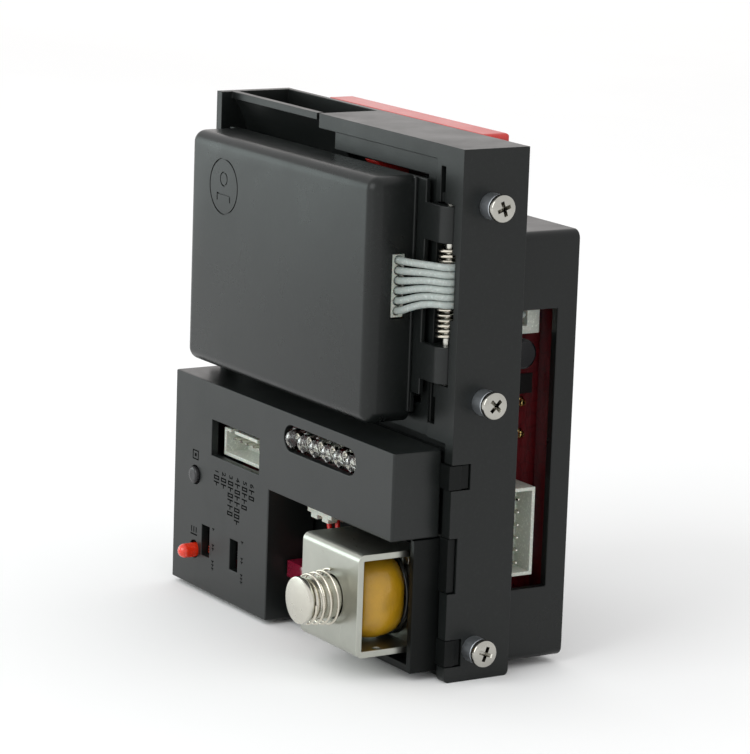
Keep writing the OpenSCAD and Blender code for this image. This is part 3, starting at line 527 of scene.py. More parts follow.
class CoinAcceptorSettings(bpy.types.PropertyGroup):
    """All settings of the coin acceptor."""

    moulding: PointerProperty(type=MouldingSettings)
    metal: PointerProperty(type=MetalSettings)
    wiring: PointerProperty(type=WiringSettings)
    stage: PointerProperty(type=StageSettings)


def settings():
    """The scene's coin acceptor settings."""
    return bpy.context.scene.coin_acceptor


# ---- operators ----


class BuildFinishes(bpy.types.Operator):
    """Makes the shader groups and materials, and paints the CAD nodes"""

    bl_idname = "coin_acceptor.finishes"
    bl_label = "Finishes"

    def execute(self, context):
        moulding, plating, wiring = settings().moulding, settings().metal, settings().wiring
        make_grain_group()
        make_handling_group()
        make_brush_group()
        black, grain = tuple(moulding.black), moulding.grain
        moulded("frame_black", black, 0.36, 1500.0, grain * 0.45, edge=moulding.rounding,
                Specular_IOR_Level=0.3)
        moulded("deck_black", black, 0.36, 1500.0, grain * 0.5, edge=0.2, Specular_IOR_Level=0.32)
        moulded("housing_black", tone(black, 0.9), 0.32, 2600.0, grain * 0.2, Specular_IOR_Level=0.3)
        moulded("box_black", tone(black, 1.3), 0.36, 2600.0, grain * 0.2, Specular_IOR_Level=0.36)
        moulded("base_black", tone(black, 0.6), 0.42, 2400.0, grain * 0.25, edge=0.15,
                Specular_IOR_Level=0.15)
        moulded("door_black", black, 0.3, 1300.0, grain * 0.4, Specular_IOR_Level=0.3)
        moulded("track_black", tone(black, 0.5), 0.45, 2600.0, grain * 0.3, Specular_IOR_Level=0.15)
        moulded("chip_black", (0.012, 0.012, 0.012), 0.35, 3500.0, grain * 0.3)
        moulded("bobbin_black", (0.009, 0.009, 0.009), 0.4, 3000.0, grain * 0.3)
        moulded("button_black", (0.008, 0.008, 0.009), 0.3, 3000.0, grain * 0.3)
        moulded("slider_dark", (0.02, 0.022, 0.024), 0.35, 3000.0, grain * 0.3)
        moulded("capacitor_sleeve", (0.003, 0.003, 0.004), 0.22, 2500.0, grain * 0.3, Specular_IOR_Level=0.2)
        moulded("ink_black", (0.002, 0.002, 0.002), 0.7, 3500.0, grain * 0.2, Specular_IOR_Level=0.03)
        moulded("lever_red", tuple(moulding.red), 0.36, 1800.0, grain * 0.4, Coat_Weight=0.15)
        moulded("slider_red", (0.62, 0.045, 0.012), 0.35, 3000.0, grain * 0.3)
        moulded("lead_red", (0.62, 0.016, 0.012), 0.3, 2500.0, grain * 0.3)
        moulded("connector_white", tuple(wiring.nylon), 0.42, 2200.0, grain * 0.4, Subsurface_Weight=0.1,
                Subsurface_Scale=0.0015)
        moulded("cable_grey", tuple(wiring.cable), 0.34, 1800.0, grain * 0.3, Subsurface_Weight=0.05,
                Subsurface_Scale=0.001)
        make_board_finish("board_red", tuple(wiring.board))
        make_tape_finish("coil_tape", tuple(wiring.tape))
        metal("bracket_zinc", tuple(plating.zinc), 0.3, (500.0, 500.0, 120.0), 0.0015, 0.06)
        metal("stud_nickel", tuple(plating.nickel), 0.16, (60.0, 900.0, 900.0), 0.003)
        metal("collar_steel", (0.50, 0.53, 0.56), 0.42, (60.0, 900.0, 900.0), 0.003, 0.08)
        metal("screw_zinc", (0.6, 0.6, 0.56), 0.3, (600.0, 600.0, 600.0), 0.003)
        metal("plunger_steel", (0.64, 0.62, 0.55), 0.24, (40.0, 2600.0, 40.0), 0.006)
        metal("spring_steel", (0.68, 0.64, 0.55), 0.2, (900.0, 900.0, 900.0), 0.002)
        metal("gate_steel", (0.6, 0.59, 0.54), 0.26, (60.0, 900.0, 900.0), 0.003)
        metal("pin_tin", (0.74, 0.72, 0.66), 0.22, (900.0, 900.0, 900.0), 0.002)
        metal("contact_gold", (0.85, 0.6, 0.22), 0.2, (900.0, 900.0, 900.0), 0.002)
        metal("coil_copper", (0.7, 0.3, 0.13), 0.32, (200.0, 2400.0, 200.0), 0.02)
        make_clear_finish("lamp_clear", (0.97, 0.98, 0.97), 0.0)
        moulded("lamp_red", (0.80, 0.04, 0.012), 0.12, 3000.0, grain * 0.1, Coat_Weight=0.5,
                Coat_Roughness=0.05,
                Subsurface_Weight=0.4, Subsurface_Scale=0.002)
        moulded("sensor_red", (0.16, 0.006, 0.022), 0.12, 3000.0, grain * 0.1, Coat_Weight=0.6,
                Coat_Roughness=0.06)
        for name, piece in frame["nodes"].items():
            for spot in piece.material_slots:
                spot.material = FINISHES[SLOT_OF[name]]
        return {"FINISHED"}


class BuildFrame(bpy.types.Operator):
    """Rounds the coin track; the main frame keeps its mesh, with soft edges in its finish"""

    bl_idname = "coin_acceptor.frame"
    bl_label = "Main frame"

    def execute(self, context):
        softened("coin_track", "coin_rails", "track_black", 0.15)
        return {"FINISHED"}


class BuildRearHousing(bpy.types.Operator):
    """Rounds the rear housing and builds its screws"""

    bl_idname = "coin_acceptor.rear_housing"
    bl_label = "Rear housing"

    def execute(self, context):
        softened("rear_housing", "rear_cover", "housing_black", 0.3)
        softened("housing_screws", "rear_cover_screws", "screw_zinc", 0.12)
        return {"FINISHED"}


class BuildSideBoard(bpy.types.Operator):
    """Builds the rear board's visible parts: header, pins, capacitor, posts and chip"""

    bl_idname = "coin_acceptor.side_board"
    bl_label = "Side board"

    def execute(self, context):
        softened("rear_board", "side_board", "board_red", 0.1)
        softened("side_header", "harness_header", "connector_white", 0.15)
        softened("ribbon_socket", "door_cable_socket", "connector_white", 0.15)
        pin_row("side_header_pins", "harness_pins", X, Z)
        self.build_capacitor()
        self.build_posts()
        softened("driver_chip", "board_chips", "chip_black", 0.08)
        self.build_tracks()
        return {"FINISHED"}

    def build_capacitor(self):
        """Sleeved round can standing on the board."""
        low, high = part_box("filter_capacitor")
        radius = (high.z - low.z) / 2 / MM
        length = (high.x - low.x) / MM
        start = Vector((low.x, (low.y + high.y) / 2, (low.z + high.z) / 2))
        bm = bmesh.new()
        turned(bm, [(0, 0), (radius, 0), (radius, 0.6), (radius - 0.18, 0.85), (radius - 0.18, 1.1),
                    (radius, 1.4),
                    (radius, length - 0.5), (radius - 0.15, length - 0.15), (radius - 0.5, length),
                    (radius - 0.8, length - 0.15), (0, length - 0.15)], start, X, 40)
        add_piece(bm, "board_capacitor", "frame", "capacitor_sleeve",
                  ("filter_capacitor",))

    def build_posts(self):
        """Two domed contact posts on solder rings."""
        low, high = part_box("contact_posts")
        bm = bmesh.new()
        for z in (high.z - 1.1 * MM, low.z + 1.1 * MM):
            turned(bm, [(0, 0), (1.1, 0), (1.1, 0.12), (0.95, 0.3), (0.62, 0.5), (0.55, 0.8), (0.72, 0.95),
                        (0.72, 1.2), (0.5, 1.45), (0, 1.55)], Vector((low.x, low.y + 1.1 * MM, z)), X, 24)
        add_piece(bm, "board_posts", "frame", "contact_gold", ("contact_posts",))

    def build_tracks(self):
        """Raised copper tracks and small parts under the mask; a red strip paints the board's reflection."""
        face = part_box("rear_board")[1].x
        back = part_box("rear_board")[1].y
        bm = bmesh.new()
        for dy, z0, z1 in ((1.2, 18, 66), (2.1, 24, 58), (3.0, 37, 52), (3.9, 40, 49)):
            block(bm, Vector((face, back - (dy + 0.35) * MM, z0 * MM)),
                  Vector((face + 0.04 * MM, back - dy * MM, z1 * MM)))
        for dy, z in ((1.2, 62.4), (2.1, 56.6), (1.2, 40.2), (3.0, 38)):
            turned(bm, [(0, 0), (0.5, 0), (0.5, 0.05), (0.22, 0.05), (0.2, -0.02), (0, -0.02)],
                   Vector((face, back - (dy + 0.17) * MM, z * MM)), X, 16)
        add_piece(bm, "board_tracks", "frame", "board_red")
        # Painted reflection: a red strip with ticks on the housing's rear inner wall stands in for the red
        # board reflected in the glossy black wall.
        bm = bmesh.new()
        block(bm, at(33.2, 26.3, 8), at(40.9, 26.95, 83), 0.1 * MM)
        for step in range(30):
            block(bm, at(39.2, 26.22, 17 + 1.6 * step), at(40.2, 26.32, 17.5 + 1.6 * step))
        add_piece(bm, "board_reflection_strip", "frame", "board_red")


def pointed_pin(bm, start, axis, length, half):
    """A square pin with a tapered tip."""
    turn = Z.rotation_difference(Vector(axis)).to_matrix().to_4x4()
    place = Matrix.Translation(start) @ turn
    tip = 0.5 * MM
    outline = [place @ Vector((sx * half, sy * half, 0)) for sx, sy in ((-1, -1), (1, -1), (1, 1), (-1, 1))]
    face = bm.faces.new([bm.verts.new(point) for point in outline])
    for push, scale in ((length - tip, 1.0), (tip, 0.45)):
        made = bmesh.ops.extrude_face_region(bm, geom=[face])["geom"]
        verts = [item for item in made if isinstance(item, bmesh.types.BMVert)]
        face = [item for item in made if isinstance(item, bmesh.types.BMFace)][0]
        bmesh.ops.translate(bm, vec=(turn.to_3x3() @ Z) * push, verts=verts)
        centre = sum((v.co for v in verts), Vector()) / len(verts)
        bmesh.ops.scale(bm, vec=(scale,) * 3, space=Matrix.Translation(-centre), verts=verts)
    bmesh.ops.recalc_face_normals(bm, faces=bm.faces)


def pin_row(node, name, pointing, along):
    """A row of pointed pins that stands for a header's CAD pins."""
    low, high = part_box(node)
    length = abs((high - low).dot(pointing))
    run = abs((high - low).dot(along)) - 2 * PIN_HALF
    first = (low + high) / 2 - pointing * length / 2 - along * run / 2
    bm = bmesh.new()
    for i in range(PIN_COUNT):
        pointed_pin(bm, first + along * run * i / (PIN_COUNT - 1), pointing, length, PIN_HALF)
    add_piece(bm, name, "frame", "pin_tin", (node,))


class BuildStuds(bpy.types.Operator):
    """Builds the six mounting studs with cross-recessed screws"""

    bl_idname = "coin_acceptor.studs"
    bl_label = "Mounting studs"

    def execute(self, context):
        low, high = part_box("stud_collars")
        radius = STUD_RADIUS
        heights = (high.z - radius * MM, MIDDLE_STUD * MM, low.z + radius * MM)
        y = (low.y + high.y) / 2
        face = frame["record"]["mounts"][0]["pos_m"][0] - 1.5 * MM
        collars, screws, recesses = bmesh.new(), bmesh.new(), []
        for side in (1, -1):
            for index, z in enumerate(heights):
                start = Vector((side * face, y, z))
                axis = (side, 0, 0)
                turned(collars, [(1.5, 0), (radius, 0), (radius, 2.75), (radius - 0.2, 2.98), (1.5, 2.98),
                                 (1.5, 0)],
                       start, axis, 48)
                turned(screws, [(0, -3.4), (1.45, -3.4), (1.45, 3.0), (2.45, 3.0), (2.62, 3.15), (2.62, 4.1),
                                (2.52, 4.32), (2.3, 4.46), (0, STUD_REACH)], start, axis, 48)
                recesses.append(self.recess(start + Vector((side * STUD_REACH * MM, 0, 0)), side,
                                            20 + 25 * index))
        add_piece(collars, "stud_sleeves", "frame", "collar_steel", ("stud_collars",))
        heads = add_piece(screws, "stud_bolts", "frame", "stud_nickel", ("stud_screws",))
        carved(heads, recesses)
        return {"FINISHED"}

    def recess(self, mouth, side, angle):
        """A tapered cross that points into the screw head."""
        long, slim = 1.65, 0.42
        outline = [(long, slim), (slim, slim), (slim, long), (-slim, long), (-slim, slim), (-long, slim),
                   (-long, -slim), (-slim, -slim), (-slim, -long), (slim, -long), (slim, -slim),
                   (long, -slim)]
        bm = bmesh.new()
        turn = Matrix.Translation(mouth) @ Matrix.Rotation(math.radians(angle), 4, "X")
        lip = [turn @ Vector((side * 0.3 * MM, y * MM, z * MM)) for y, z in outline]
        prism(bm, lip, Vector((-side * 1.7 * MM, 0, 0)))
        deep = [v for v in bm.verts if (v.co.x - mouth.x) * side < 0]
        bmesh.ops.scale(bm, vec=(1, 0.45, 0.45), space=Matrix.Translation(-mouth), verts=deep)
        return bm


class BuildControlBox(bpy.types.Operator):
    """Rounds the control box, its rear cover and board"""

    bl_idname = "coin_acceptor.control_box"
    bl_label = "Control box"

    def execute(self, context):
        low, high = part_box("control_box")

        def roundness(spot, edge):
            on_front = abs(spot.y - low.y) < 0.05 * MM
            outer = (abs(spot.x - low.x) < 0.05 * MM or abs(spot.x - high.x) < 0.05 * MM
                     or abs(spot.z - low.z) < 0.05 * MM or abs(spot.z - high.z) < 0.05 * MM)
            return 1.0 if on_front and outer else (0.55 if outer else 0.2)

        softened("control_box", "control_cover", "box_black", 0.7, 3, roundness)
        softened("control_base", "control_tray", "base_black", 0.15)
        softened("control_board", "front_board", "board_red", 0.08)
        return {"FINISHED"}


class BuildPrintedMarks(bpy.types.Operator):
    """Prints generic pin numbers, bars and pictograms on the control box"""

    bl_idname = "coin_acceptor.printed_marks"
    bl_label = "Printed marks"

    def execute(self, context):
        self.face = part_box("control_box")[0].y
        bm = bmesh.new()
        columns = ((-26.1, "ob"), (-23.2, "ob"), (-20.3, "obobbo"), (-17.5, "bobboob"), (-14.6, "obbo"),
                   (-11.8, "bo"))
        for number, (x, signs) in enumerate(columns, 1):
            self.digit(bm, str(number), x, 27.6)
            self.signs(bm, signs, x, 26.2, 2.1, 1.25)
        for x, z0 in ((-26.9, 14.9), (-15.0, 14.9)):
            for step, signs in enumerate(("b", "bb", "bbb")):
                self.signs(bm, signs, x, z0 - 3.4 * step, 0.9, 0.75)
        self.button_sign(bm, -35, 28.6)
        self.lamp_sign(bm, -35, 12.6)
        add_piece(bm, "printed_marks", "frame", "ink_black")
        return {"FINISHED"}

    def stroke(self, bm, x0, z0, x1, z1):
        """One printed bar, a hair proud of the face."""
        block(bm, Vector((x0 * MM, self.face - 0.03 * MM, z0 * MM)),
              Vector((x1 * MM, self.face + 0.02 * MM, z1 * MM)))

    def signs(self, bm, pattern, x, z, width, pitch):
        """A column of open boxes and bars, read downwards."""
        half, pen = width / 2, 0.28 if width > 1 else 0.2
        for sign in pattern:
            deep = pitch * 0.7
            self.stroke(bm, x - half, z - pen, x + half, z)
            if sign == "o":
                self.stroke(bm, x - half, z - deep, x + half, z - deep + pen)
                self.stroke(bm, x - half, z - deep, x - half + pen, z)
                self.stroke(bm, x + half - pen, z - deep, x + half, z)
            else:
                self.stroke(bm, x - pen / 2, z - deep, x + pen / 2, z)
            z -= pitch

    def digit(self, bm, text, x, z):
        """One numeral, turned to read downwards."""
        letter = bpy.data.curves.new("numeral", "FONT")
        letter.body = text
        letter.size = 2.0 * MM
        letter.align_x = letter.align_y = "CENTER"
        letter.extrude = 0.025 * MM
        helper = bpy.data.objects.new("numeral", letter)
        bpy.context.scene.collection.objects.link(helper)
        mesh = baked(helper)
        drop(helper)
        place = (Matrix.Translation((x * MM, self.face - 0.005 * MM, (z - 0.6) * MM))
                 @ Matrix.Rotation(math.radians(90), 4, "X") @ Matrix.Rotation(math.radians(-90), 4, "Z"))
        mesh.transform(place)
        bm.from_mesh(mesh)

    def button_sign(self, bm, x, z):
        """A square with a solid middle."""
        for x0, z0, x1, z1 in ((-1.2, -1.0, 1.2, -0.75), (-1.2, 0.75, 1.2, 1.0), (-1.2, -1.0, -0.95, 1.0),
                               (0.95, -1.0, 1.2, 1.0), (-0.35, -0.35, 0.35, 0.35)):
            self.stroke(bm, x + x0, z + z0, x + x1, z + z1)

    def lamp_sign(self, bm, x, z):
        """A short row of rays over a bar."""
        self.stroke(bm, x - 1.3, z - 0.9, x + 1.3, z - 0.6)
        for dx in (-1.1, -0.13, 0.84):
            self.stroke(bm, x + dx, z - 0.3, x + dx + 0.26, z + 0.9)


class BuildFrontHeader(bpy.types.Operator):
    """Builds the control box's header and its pins"""

    bl_idname = "coin_acceptor.front_header"
    bl_label = "Front header"

    def execute(self, context):
        softened("front_header", "output_header", "connector_white", 0.15)
        pin_row("front_header_pins", "output_pins", -Y, X)
        return {"FINISHED"}


def lamp_shell(bm, start, radius, rim, length):
    """A lamp's epoxy body along -Y: rim, barrel and dome."""
    dome = [(radius * math.cos(a), length - radius + radius * math.sin(a))
            for a in (math.radians(9 * i) for i in range(10))]
    turned(bm, [(0, 0), (rim - 0.05, 0), (rim, 0.06), (rim, 0.7), (rim - 0.06, 0.78), (radius, 0.8)] + dome
           + [(0, length)], start, (0, -1, 0), 32)


class BuildDisplayLamps(bpy.types.Operator):
    """Builds the six clear display lamps with their lead frames"""

    bl_idname = "coin_acceptor.display_lamps"
    bl_label = "Display lamps"

    def execute(self, context):
        low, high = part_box("display_leds")
        rim = 2.15
        count = 6
        pitch = (high.x - low.x - 2 * rim * MM) / (count - 1)
        z = (low.z + high.z) / 2
        nose = low.y
        length = 6.1
        shells, frames_bm = bmesh.new(), bmesh.new()
        for i in range(count):
            x = low.x + rim * MM + i * pitch
            lamp_shell(shells, Vector((x, nose + length * MM, z)), 2.1, rim, length)
            self.lead_frame(frames_bm, x, nose, z, high.y)
        add_piece(shells, "display_lamps", "frame", "lamp_clear", ("display_leds",))
        add_piece(frames_bm, "display_lamp_leads", "frame", "pin_tin")
        return {"FINISHED"}

    def lead_frame(self, bm, x, nose, z, board):
        """The cup, anvil and post cast into a lamp, with their two legs."""
        cup = Vector((x - 0.35 * MM, nose + 3.3 * MM, z))
        turned(bm, [(0, 0), (0.5, 0), (0.62, 0.75), (0.52, 0.75), (0.3, 0.25), (0, 0.25)], cup, (0, -1, 0),
               16)
        block(bm, Vector((x - 1.0 * MM, nose + 3.3 * MM, z - 0.25 * MM)),
              Vector((x + 0.15 * MM, nose + 4.6 * MM, z + 0.25 * MM)), 0.05 * MM)
        block(bm, Vector((x + 0.45 * MM, nose + 3.0 * MM, z - 0.22 * MM)),
              Vector((x + 1.0 * MM, nose + 4.4 * MM, z + 0.22 * MM)), 0.05 * MM)
        for side in (-1, 1):
            block(bm, Vector((x + side * 1.05 * MM - 0.2 * MM, nose + 4.3 * MM, z - 0.2 * MM)),
                  Vector((x + side * 1.05 * MM + 0.2 * MM, board, z + 0.2 * MM)), 0.03 * MM)


class BuildStatusLamp(bpy.types.Operator):
    """Builds the red status lamp with a frame inside"""

    bl_idname = "coin_acceptor.status_lamp"
    bl_label = "Status lamp"

    def execute(self, context):
        low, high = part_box("status_led")
        x, z = (low.x + high.x) / 2, (low.z + high.z) / 2
        shell, inner = bmesh.new(), bmesh.new()
        lamp_shell(shell, Vector((x, low.y + 6.1 * MM, z)), 1.5, 1.8, 6.1)
        block(inner, Vector((x - 0.5 * MM, low.y + 2.6 * MM, z - 0.2 * MM)),
              Vector((x + 0.1 * MM, low.y + 5.4 * MM, z + 0.2 * MM)), 0.05 * MM)
        for side in (-1, 1):
            block(inner, Vector((x + side * 0.9 * MM - 0.2 * MM, low.y + 4.6 * MM, z - 0.2 * MM)),
                  Vector((x + side * 0.9 * MM + 0.2 * MM, high.y, z + 0.2 * MM)), 0.03 * MM)
        add_piece(shell, "status_lamp", "frame", "lamp_red", ("status_led",))
        add_piece(inner, "status_lamp_leads", "frame", "pin_tin")
        return {"FINISHED"}


class BuildControls(bpy.types.Operator):
    """Builds the teach button and the two slide switches"""

    bl_idname = "coin_acceptor.controls"
    bl_label = "Button and switches"

    def execute(self, context):
        low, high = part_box("teach_button")
        centre = Vector(((low.x + high.x) / 2, high.y, (low.z + high.z) / 2))
        length = (high.y - low.y) / MM
        bm = bmesh.new()
        turned(bm, [(0, 0), (1.72, 0), (1.72, length - 0.4), (1.62, length - 0.15), (1.4, length),
                    (0.9, length),
                    (0, length - 0.06)], centre, (0, -1, 0), 40)
        add_piece(bm, "teach_cap", "button", "button_black", ("teach_button",))
        for node, name, body, finish in (("speed_slider", "speed_knob_cap", "speed", "slider_red"),
                                         ("pulse_slider", "pulse_knob_cap", "pulse", "slider_dark")):
            self.build_slider(node, name, body, finish)
        softened("teach_switch", "teach_switch_case", "chip_black", 0.1)
        softened("speed_switch", "speed_switch_case", "chip_black", 0.1)
        softened("pulse_switch", "pulse_switch_case", "chip_black", 0.1)
        return {"FINISHED"}

    def build_slider(self, node, name, body, finish):
        """A small knob with a ribbed face on a foot."""
        low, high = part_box(node)
        bm = bmesh.new()
        x, z = (low.x + high.x) / 2, (low.z + high.z) / 2
        block(bm, Vector((low.x, high.y - 1.8 * MM, low.z)), high, 0.08 * MM)
        block(bm, Vector((x - 0.75 * MM, low.y + 0.25 * MM, z - 0.9 * MM)),
              Vector((x + 0.75 * MM, high.y - 1.0 * MM, z + 0.9 * MM)), 0.12 * MM)
        for step in (-0.55, 0.0, 0.55):
            block(bm, Vector((x - 0.7 * MM, low.y, z + (step - 0.14) * MM)),
                  Vector((x + 0.7 * MM, low.y + 0.5 * MM, z + (step + 0.14) * MM)), 0.05 * MM)
        add_piece(bm, name, body, finish, (node,))


class BuildSolenoid(bpy.types.Operator):
    """Builds the solenoid: bracket, bobbin, taped coil, plunger and spring"""

    bl_idname = "coin_acceptor.solenoid"
    bl_label = "Solenoid"

    def execute(self, context):
        softened("solenoid_bracket", "solenoid_yoke", "bracket_zinc", 0.14, 3)
        softened("solenoid_screws", "yoke_screws", "screw_zinc", 0.1)
        self.build_coil()
        self.build_plunger()
        self.build_spring()
        return {"FINISHED"}

    def build_coil(self):
        """A barrel of wound tape with a lapped end, between two thin flanges."""
        low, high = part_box("coil_winding")
        radius = (high.z - low.z) / 2 / MM
        length = (high.y - low.y) / MM
        start = Vector(((low.x + high.x) / 2, low.y, (low.z + high.z) / 2))
        bm = bmesh.new()
        profile = [(5.2, 0.02), (radius - 1.3, 0.02)]
        for i in range(13):
            t = i / 12
            profile.append((radius - 1.15 + 1.1 * math.sin(math.pi * t) ** 0.55, 0.1 + t * (length - 0.2)))
        profile += [(radius - 1.3, length - 0.02), (5.2, length - 0.02), (5.2, 0.02)]
        turned(bm, profile, start, Y, 72)
        for vert in bm.verts:
            dx, dz = vert.co.x - start.x, vert.co.z - start.z
            angle = math.atan2(dz, dx)
            reach = math.hypot(dx, dz)
            if reach > 5.6 * MM:
                along = (vert.co.y - start.y) / MM
                full = (abs(math.cos(angle) / 9.3) ** 2.7 + abs(math.sin(angle) / 8.55) ** 2.7) ** (-1 / 2.7)
                swell = 0.10 * math.sin(3 * angle + 0.8 * along) + 0.06 * math.sin(7 * angle - 1.3 * along)
                lap = 0.12 if 0.2 < angle < 1.25 else 0.0
                scale = (full + swell + lap - 0.2) / radius
                vert.co.x = start.x + dx * scale
                vert.co.z = start.z + dz * scale
        add_piece(bm, "taped_coil", "frame", "coil_tape", ("coil_winding",))
        self.build_bobbin()

    def build_bobbin(self):
        """The bobbin with thin rounded flanges."""
        low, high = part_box("bobbin")
        radius = (high.z - low.z) / 2 / MM
        length = (high.y - low.y) / MM
        start = Vector(((low.x + high.x) / 2, low.y, (low.z + high.z) / 2))
        bm = bmesh.new()
        edge = 0.8
        turned(bm, [(4.25, 0), (radius - 0.15, 0), (radius, 0.15), (radius, edge - 0.15), (radius - 0.15, edge),
                    (4.95, edge), (4.95, length - edge), (radius - 0.15, length - edge),
                    (radius, length - edge + 0.15), (radius, length - 0.15), (radius - 0.15, length),
                    (4.25, length), (4.25, 0)], start, Y, 56)
        add_piece(bm, "coil_former", "frame", "bobbin_black", ("bobbin",))

    def build_plunger(self):
        """The turned plunger with its head, grooves and push rod."""
        low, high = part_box("plunger")
        length = (high.y - low.y) / MM
        start = Vector(((low.x + high.x) / 2, low.y, (low.z + high.z) / 2))
        head, shaft = 4.55, 4.05
        shaft_end = 14.1
        bm = bmesh.new()
        turned(bm, [(0, 0), (head - 0.3, 0), (head - 0.06, 0.1), (head, 0.3), (head, 1.0), (head - 0.1, 1.2),
                    (shaft - 0.4, 1.2), (shaft - 0.4, 1.7), (shaft, 1.85), (shaft, 3.2), (shaft - 0.12, 3.3),
                    (shaft - 0.12, 3.6), (shaft, 3.7), (shaft, shaft_end - 0.2),
                    (shaft - 0.2, shaft_end), (1, shaft_end), (1, length - 1),
                    (0.87, length - 0.5), (0.5, length - 0.13), (0, length)], start, Y, 64)
        add_piece(bm, "solenoid_plunger", "plunger", "plunger_steel", ("plunger",))

    def build_spring(self):
        """The conical return spring between the head and the bracket."""
        low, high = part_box("plunger_spring")
        length = (high.y - low.y) / MM
        wire = 0.23
        centre = middle("plunger")
        bm = bmesh.new()
        origin = Vector((centre.x, low.y + wire * MM, centre.z))
        spring(bm, 4.85, wire, 3.75, length - 2 * wire, origin, Y, 40, 10)
        for vert in bm.verts:
            t = (vert.co.y - origin.y) / (length * MM)
            scale = 0.955 + 0.14 * t
            vert.co.x = centre.x + (vert.co.x - centre.x) * scale
            vert.co.z = centre.z + (vert.co.z - centre.z) * scale
        piece = add_piece(bm, "return_spring", "frame", "spring_steel", ("plunger_spring",))
        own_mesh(piece)


class BuildSolenoidPlug(bpy.types.Operator):
    """Builds the solenoid's plug, its two leads and the exit sensor"""

    bl_idname = "coin_acceptor.solenoid_plug"
    bl_label = "Solenoid plug and sensor"

    def execute(self, context):
        softened("solenoid_plug", "coil_plug", "connector_white", 0.18)
        left = [(5.2, -2.6, 26), (5.2, -2.6, 23.2), (5.6, -2.7, 21.8), (7, -2.9, 20.2), (9.6, -3.2, 18.6),
                (12.8, -3.5, 17.2), (16, -3.8, 16.4), (19.33, -3.8, 16.2)]
        right = [(8.4, -2.6, 26), (8.4, -2.6, 23.2), (8.8, -2.7, 22.2), (10, -2.9, 21), (12, -3.2, 20),
                 (14.4, -3.5, 19), (16.8, -3.8, 18.1), (19.68, -3.8, 17.8)]
        bm = wire_mesh([[at(*p) for p in left], [at(*p) for p in right]], LEAD_RADIUS, "coil_leads")
        add_piece(bm, "coil_leads", "frame", "lead_red", ("solenoid_leads",))
        softened("exit_sensor", "coin_exit_sensor", "sensor_red", 0.15)
        return {"FINISHED"}


class BuildDoorCover(bpy.types.Operator):
    """Builds the rounded door cover with its cable slot, thin rear lip and emblem"""

    bl_idname = "coin_acceptor.door_cover"
    bl_label = "Door cover"

    def execute(self, context):
        low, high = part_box("door_cover")
        bm = bmesh.new()
        block(bm, low, high)
        edges = [edge for edge in bm.edges if min(vert.co.y for vert in edge.verts) < high.y - 1 * MM]
        bmesh.ops.bevel(bm, geom=edges, offset=2.5 * MM, offset_type="OFFSET", segments=10, profile=0.5,
                        affect="EDGES", clamp_overlap=True, material=-1)
        piece = add_piece(bm, "door_shell", "door", "door_black", ("door_cover",))
        carved(piece, [self.hollow(low, high), self.cable_slot(high), *self.emblem(low)])
        self.build_lip(low, high)
        return {"FINISHED"}

    def hollow(self, low, high):
        """The space inside the cover."""
        bm = bmesh.new()
        wall = Vector((1.6, 1.6, 1.6)) * MM
        block(bm, low + wall, high + Vector((-1.6, 1, -1.6)) * MM, 0.8 * MM)
        return bm

    def cable_slot(self, high):
        """The opening in the right-hand wall, round the cable's plug."""
        plug_low, plug_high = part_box("ribbon_plug")
        bm = bmesh.new()
        block(bm, Vector((high.x - 3 * MM, plug_low.y - 0.1 * MM, plug_low.z - 0.2 * MM)),
              Vector((high.x + 1 * MM, plug_high.y + 0.05 * MM, plug_high.z + 0.2 * MM)))
        return bm

    def emblem(self, low):
        """A shallow ring with a coin above a slot inside it."""
        centre = Vector((low.x + 14.2 * MM, low.y, low.z + 37.4 * MM))
        cutters = []
        for radius, width, lift in ((5.7, 0.32, 0.0), (1.5, 0.3, 1.5)):
            bm = bmesh.new()
            turned(bm, [(radius - width, -0.3), (radius, -0.3), (radius, 0.22), (radius - width, 0.22),
                        (radius - width, -0.3)],
                   centre + Vector((0, 0, lift * MM)), (0, 1, 0), 72)
            cutters.append(bm)
        for x0, z0, x1, z1 in ((-2.7, -1.75, 2.7, -1.4), (-2.7, -3.0, -2.35, -1.8), (2.35, -3.0, 2.7, -1.8)):
            bm = bmesh.new()
            block(bm, centre + Vector((x0, -0.3, z0)) * MM, centre + Vector((x1, 0.22, z1)) * MM)
            cutters.append(bm)
        return cutters

    def build_lip(self, low, high):
        """The thin lip along the cover's rear edge on the hinge side."""
        bm = bmesh.new()
        block(bm, Vector((high.x - 0.4 * MM, high.y - 0.7 * MM, low.z + 2.2 * MM)),
              Vector((high.x + 0.45 * MM, high.y - 0.02 * MM, high.z - 0.1 * MM)), 0.2 * MM, 3)
        add_piece(bm, "door_lip", "door", "door_black")


class BuildDoorPlate(bpy.types.Operator):
    """Rounds the door plate and its parts behind the cover"""

    bl_idname = "coin_acceptor.door_plate"
    bl_label = "Door plate"

    def execute(self, context):
        softened("door_plate", "door_inner_plate", "deck_black", 0.18)
        softened("door_board", "coil_board", "board_red", 0.08)
        return {"FINISHED"}


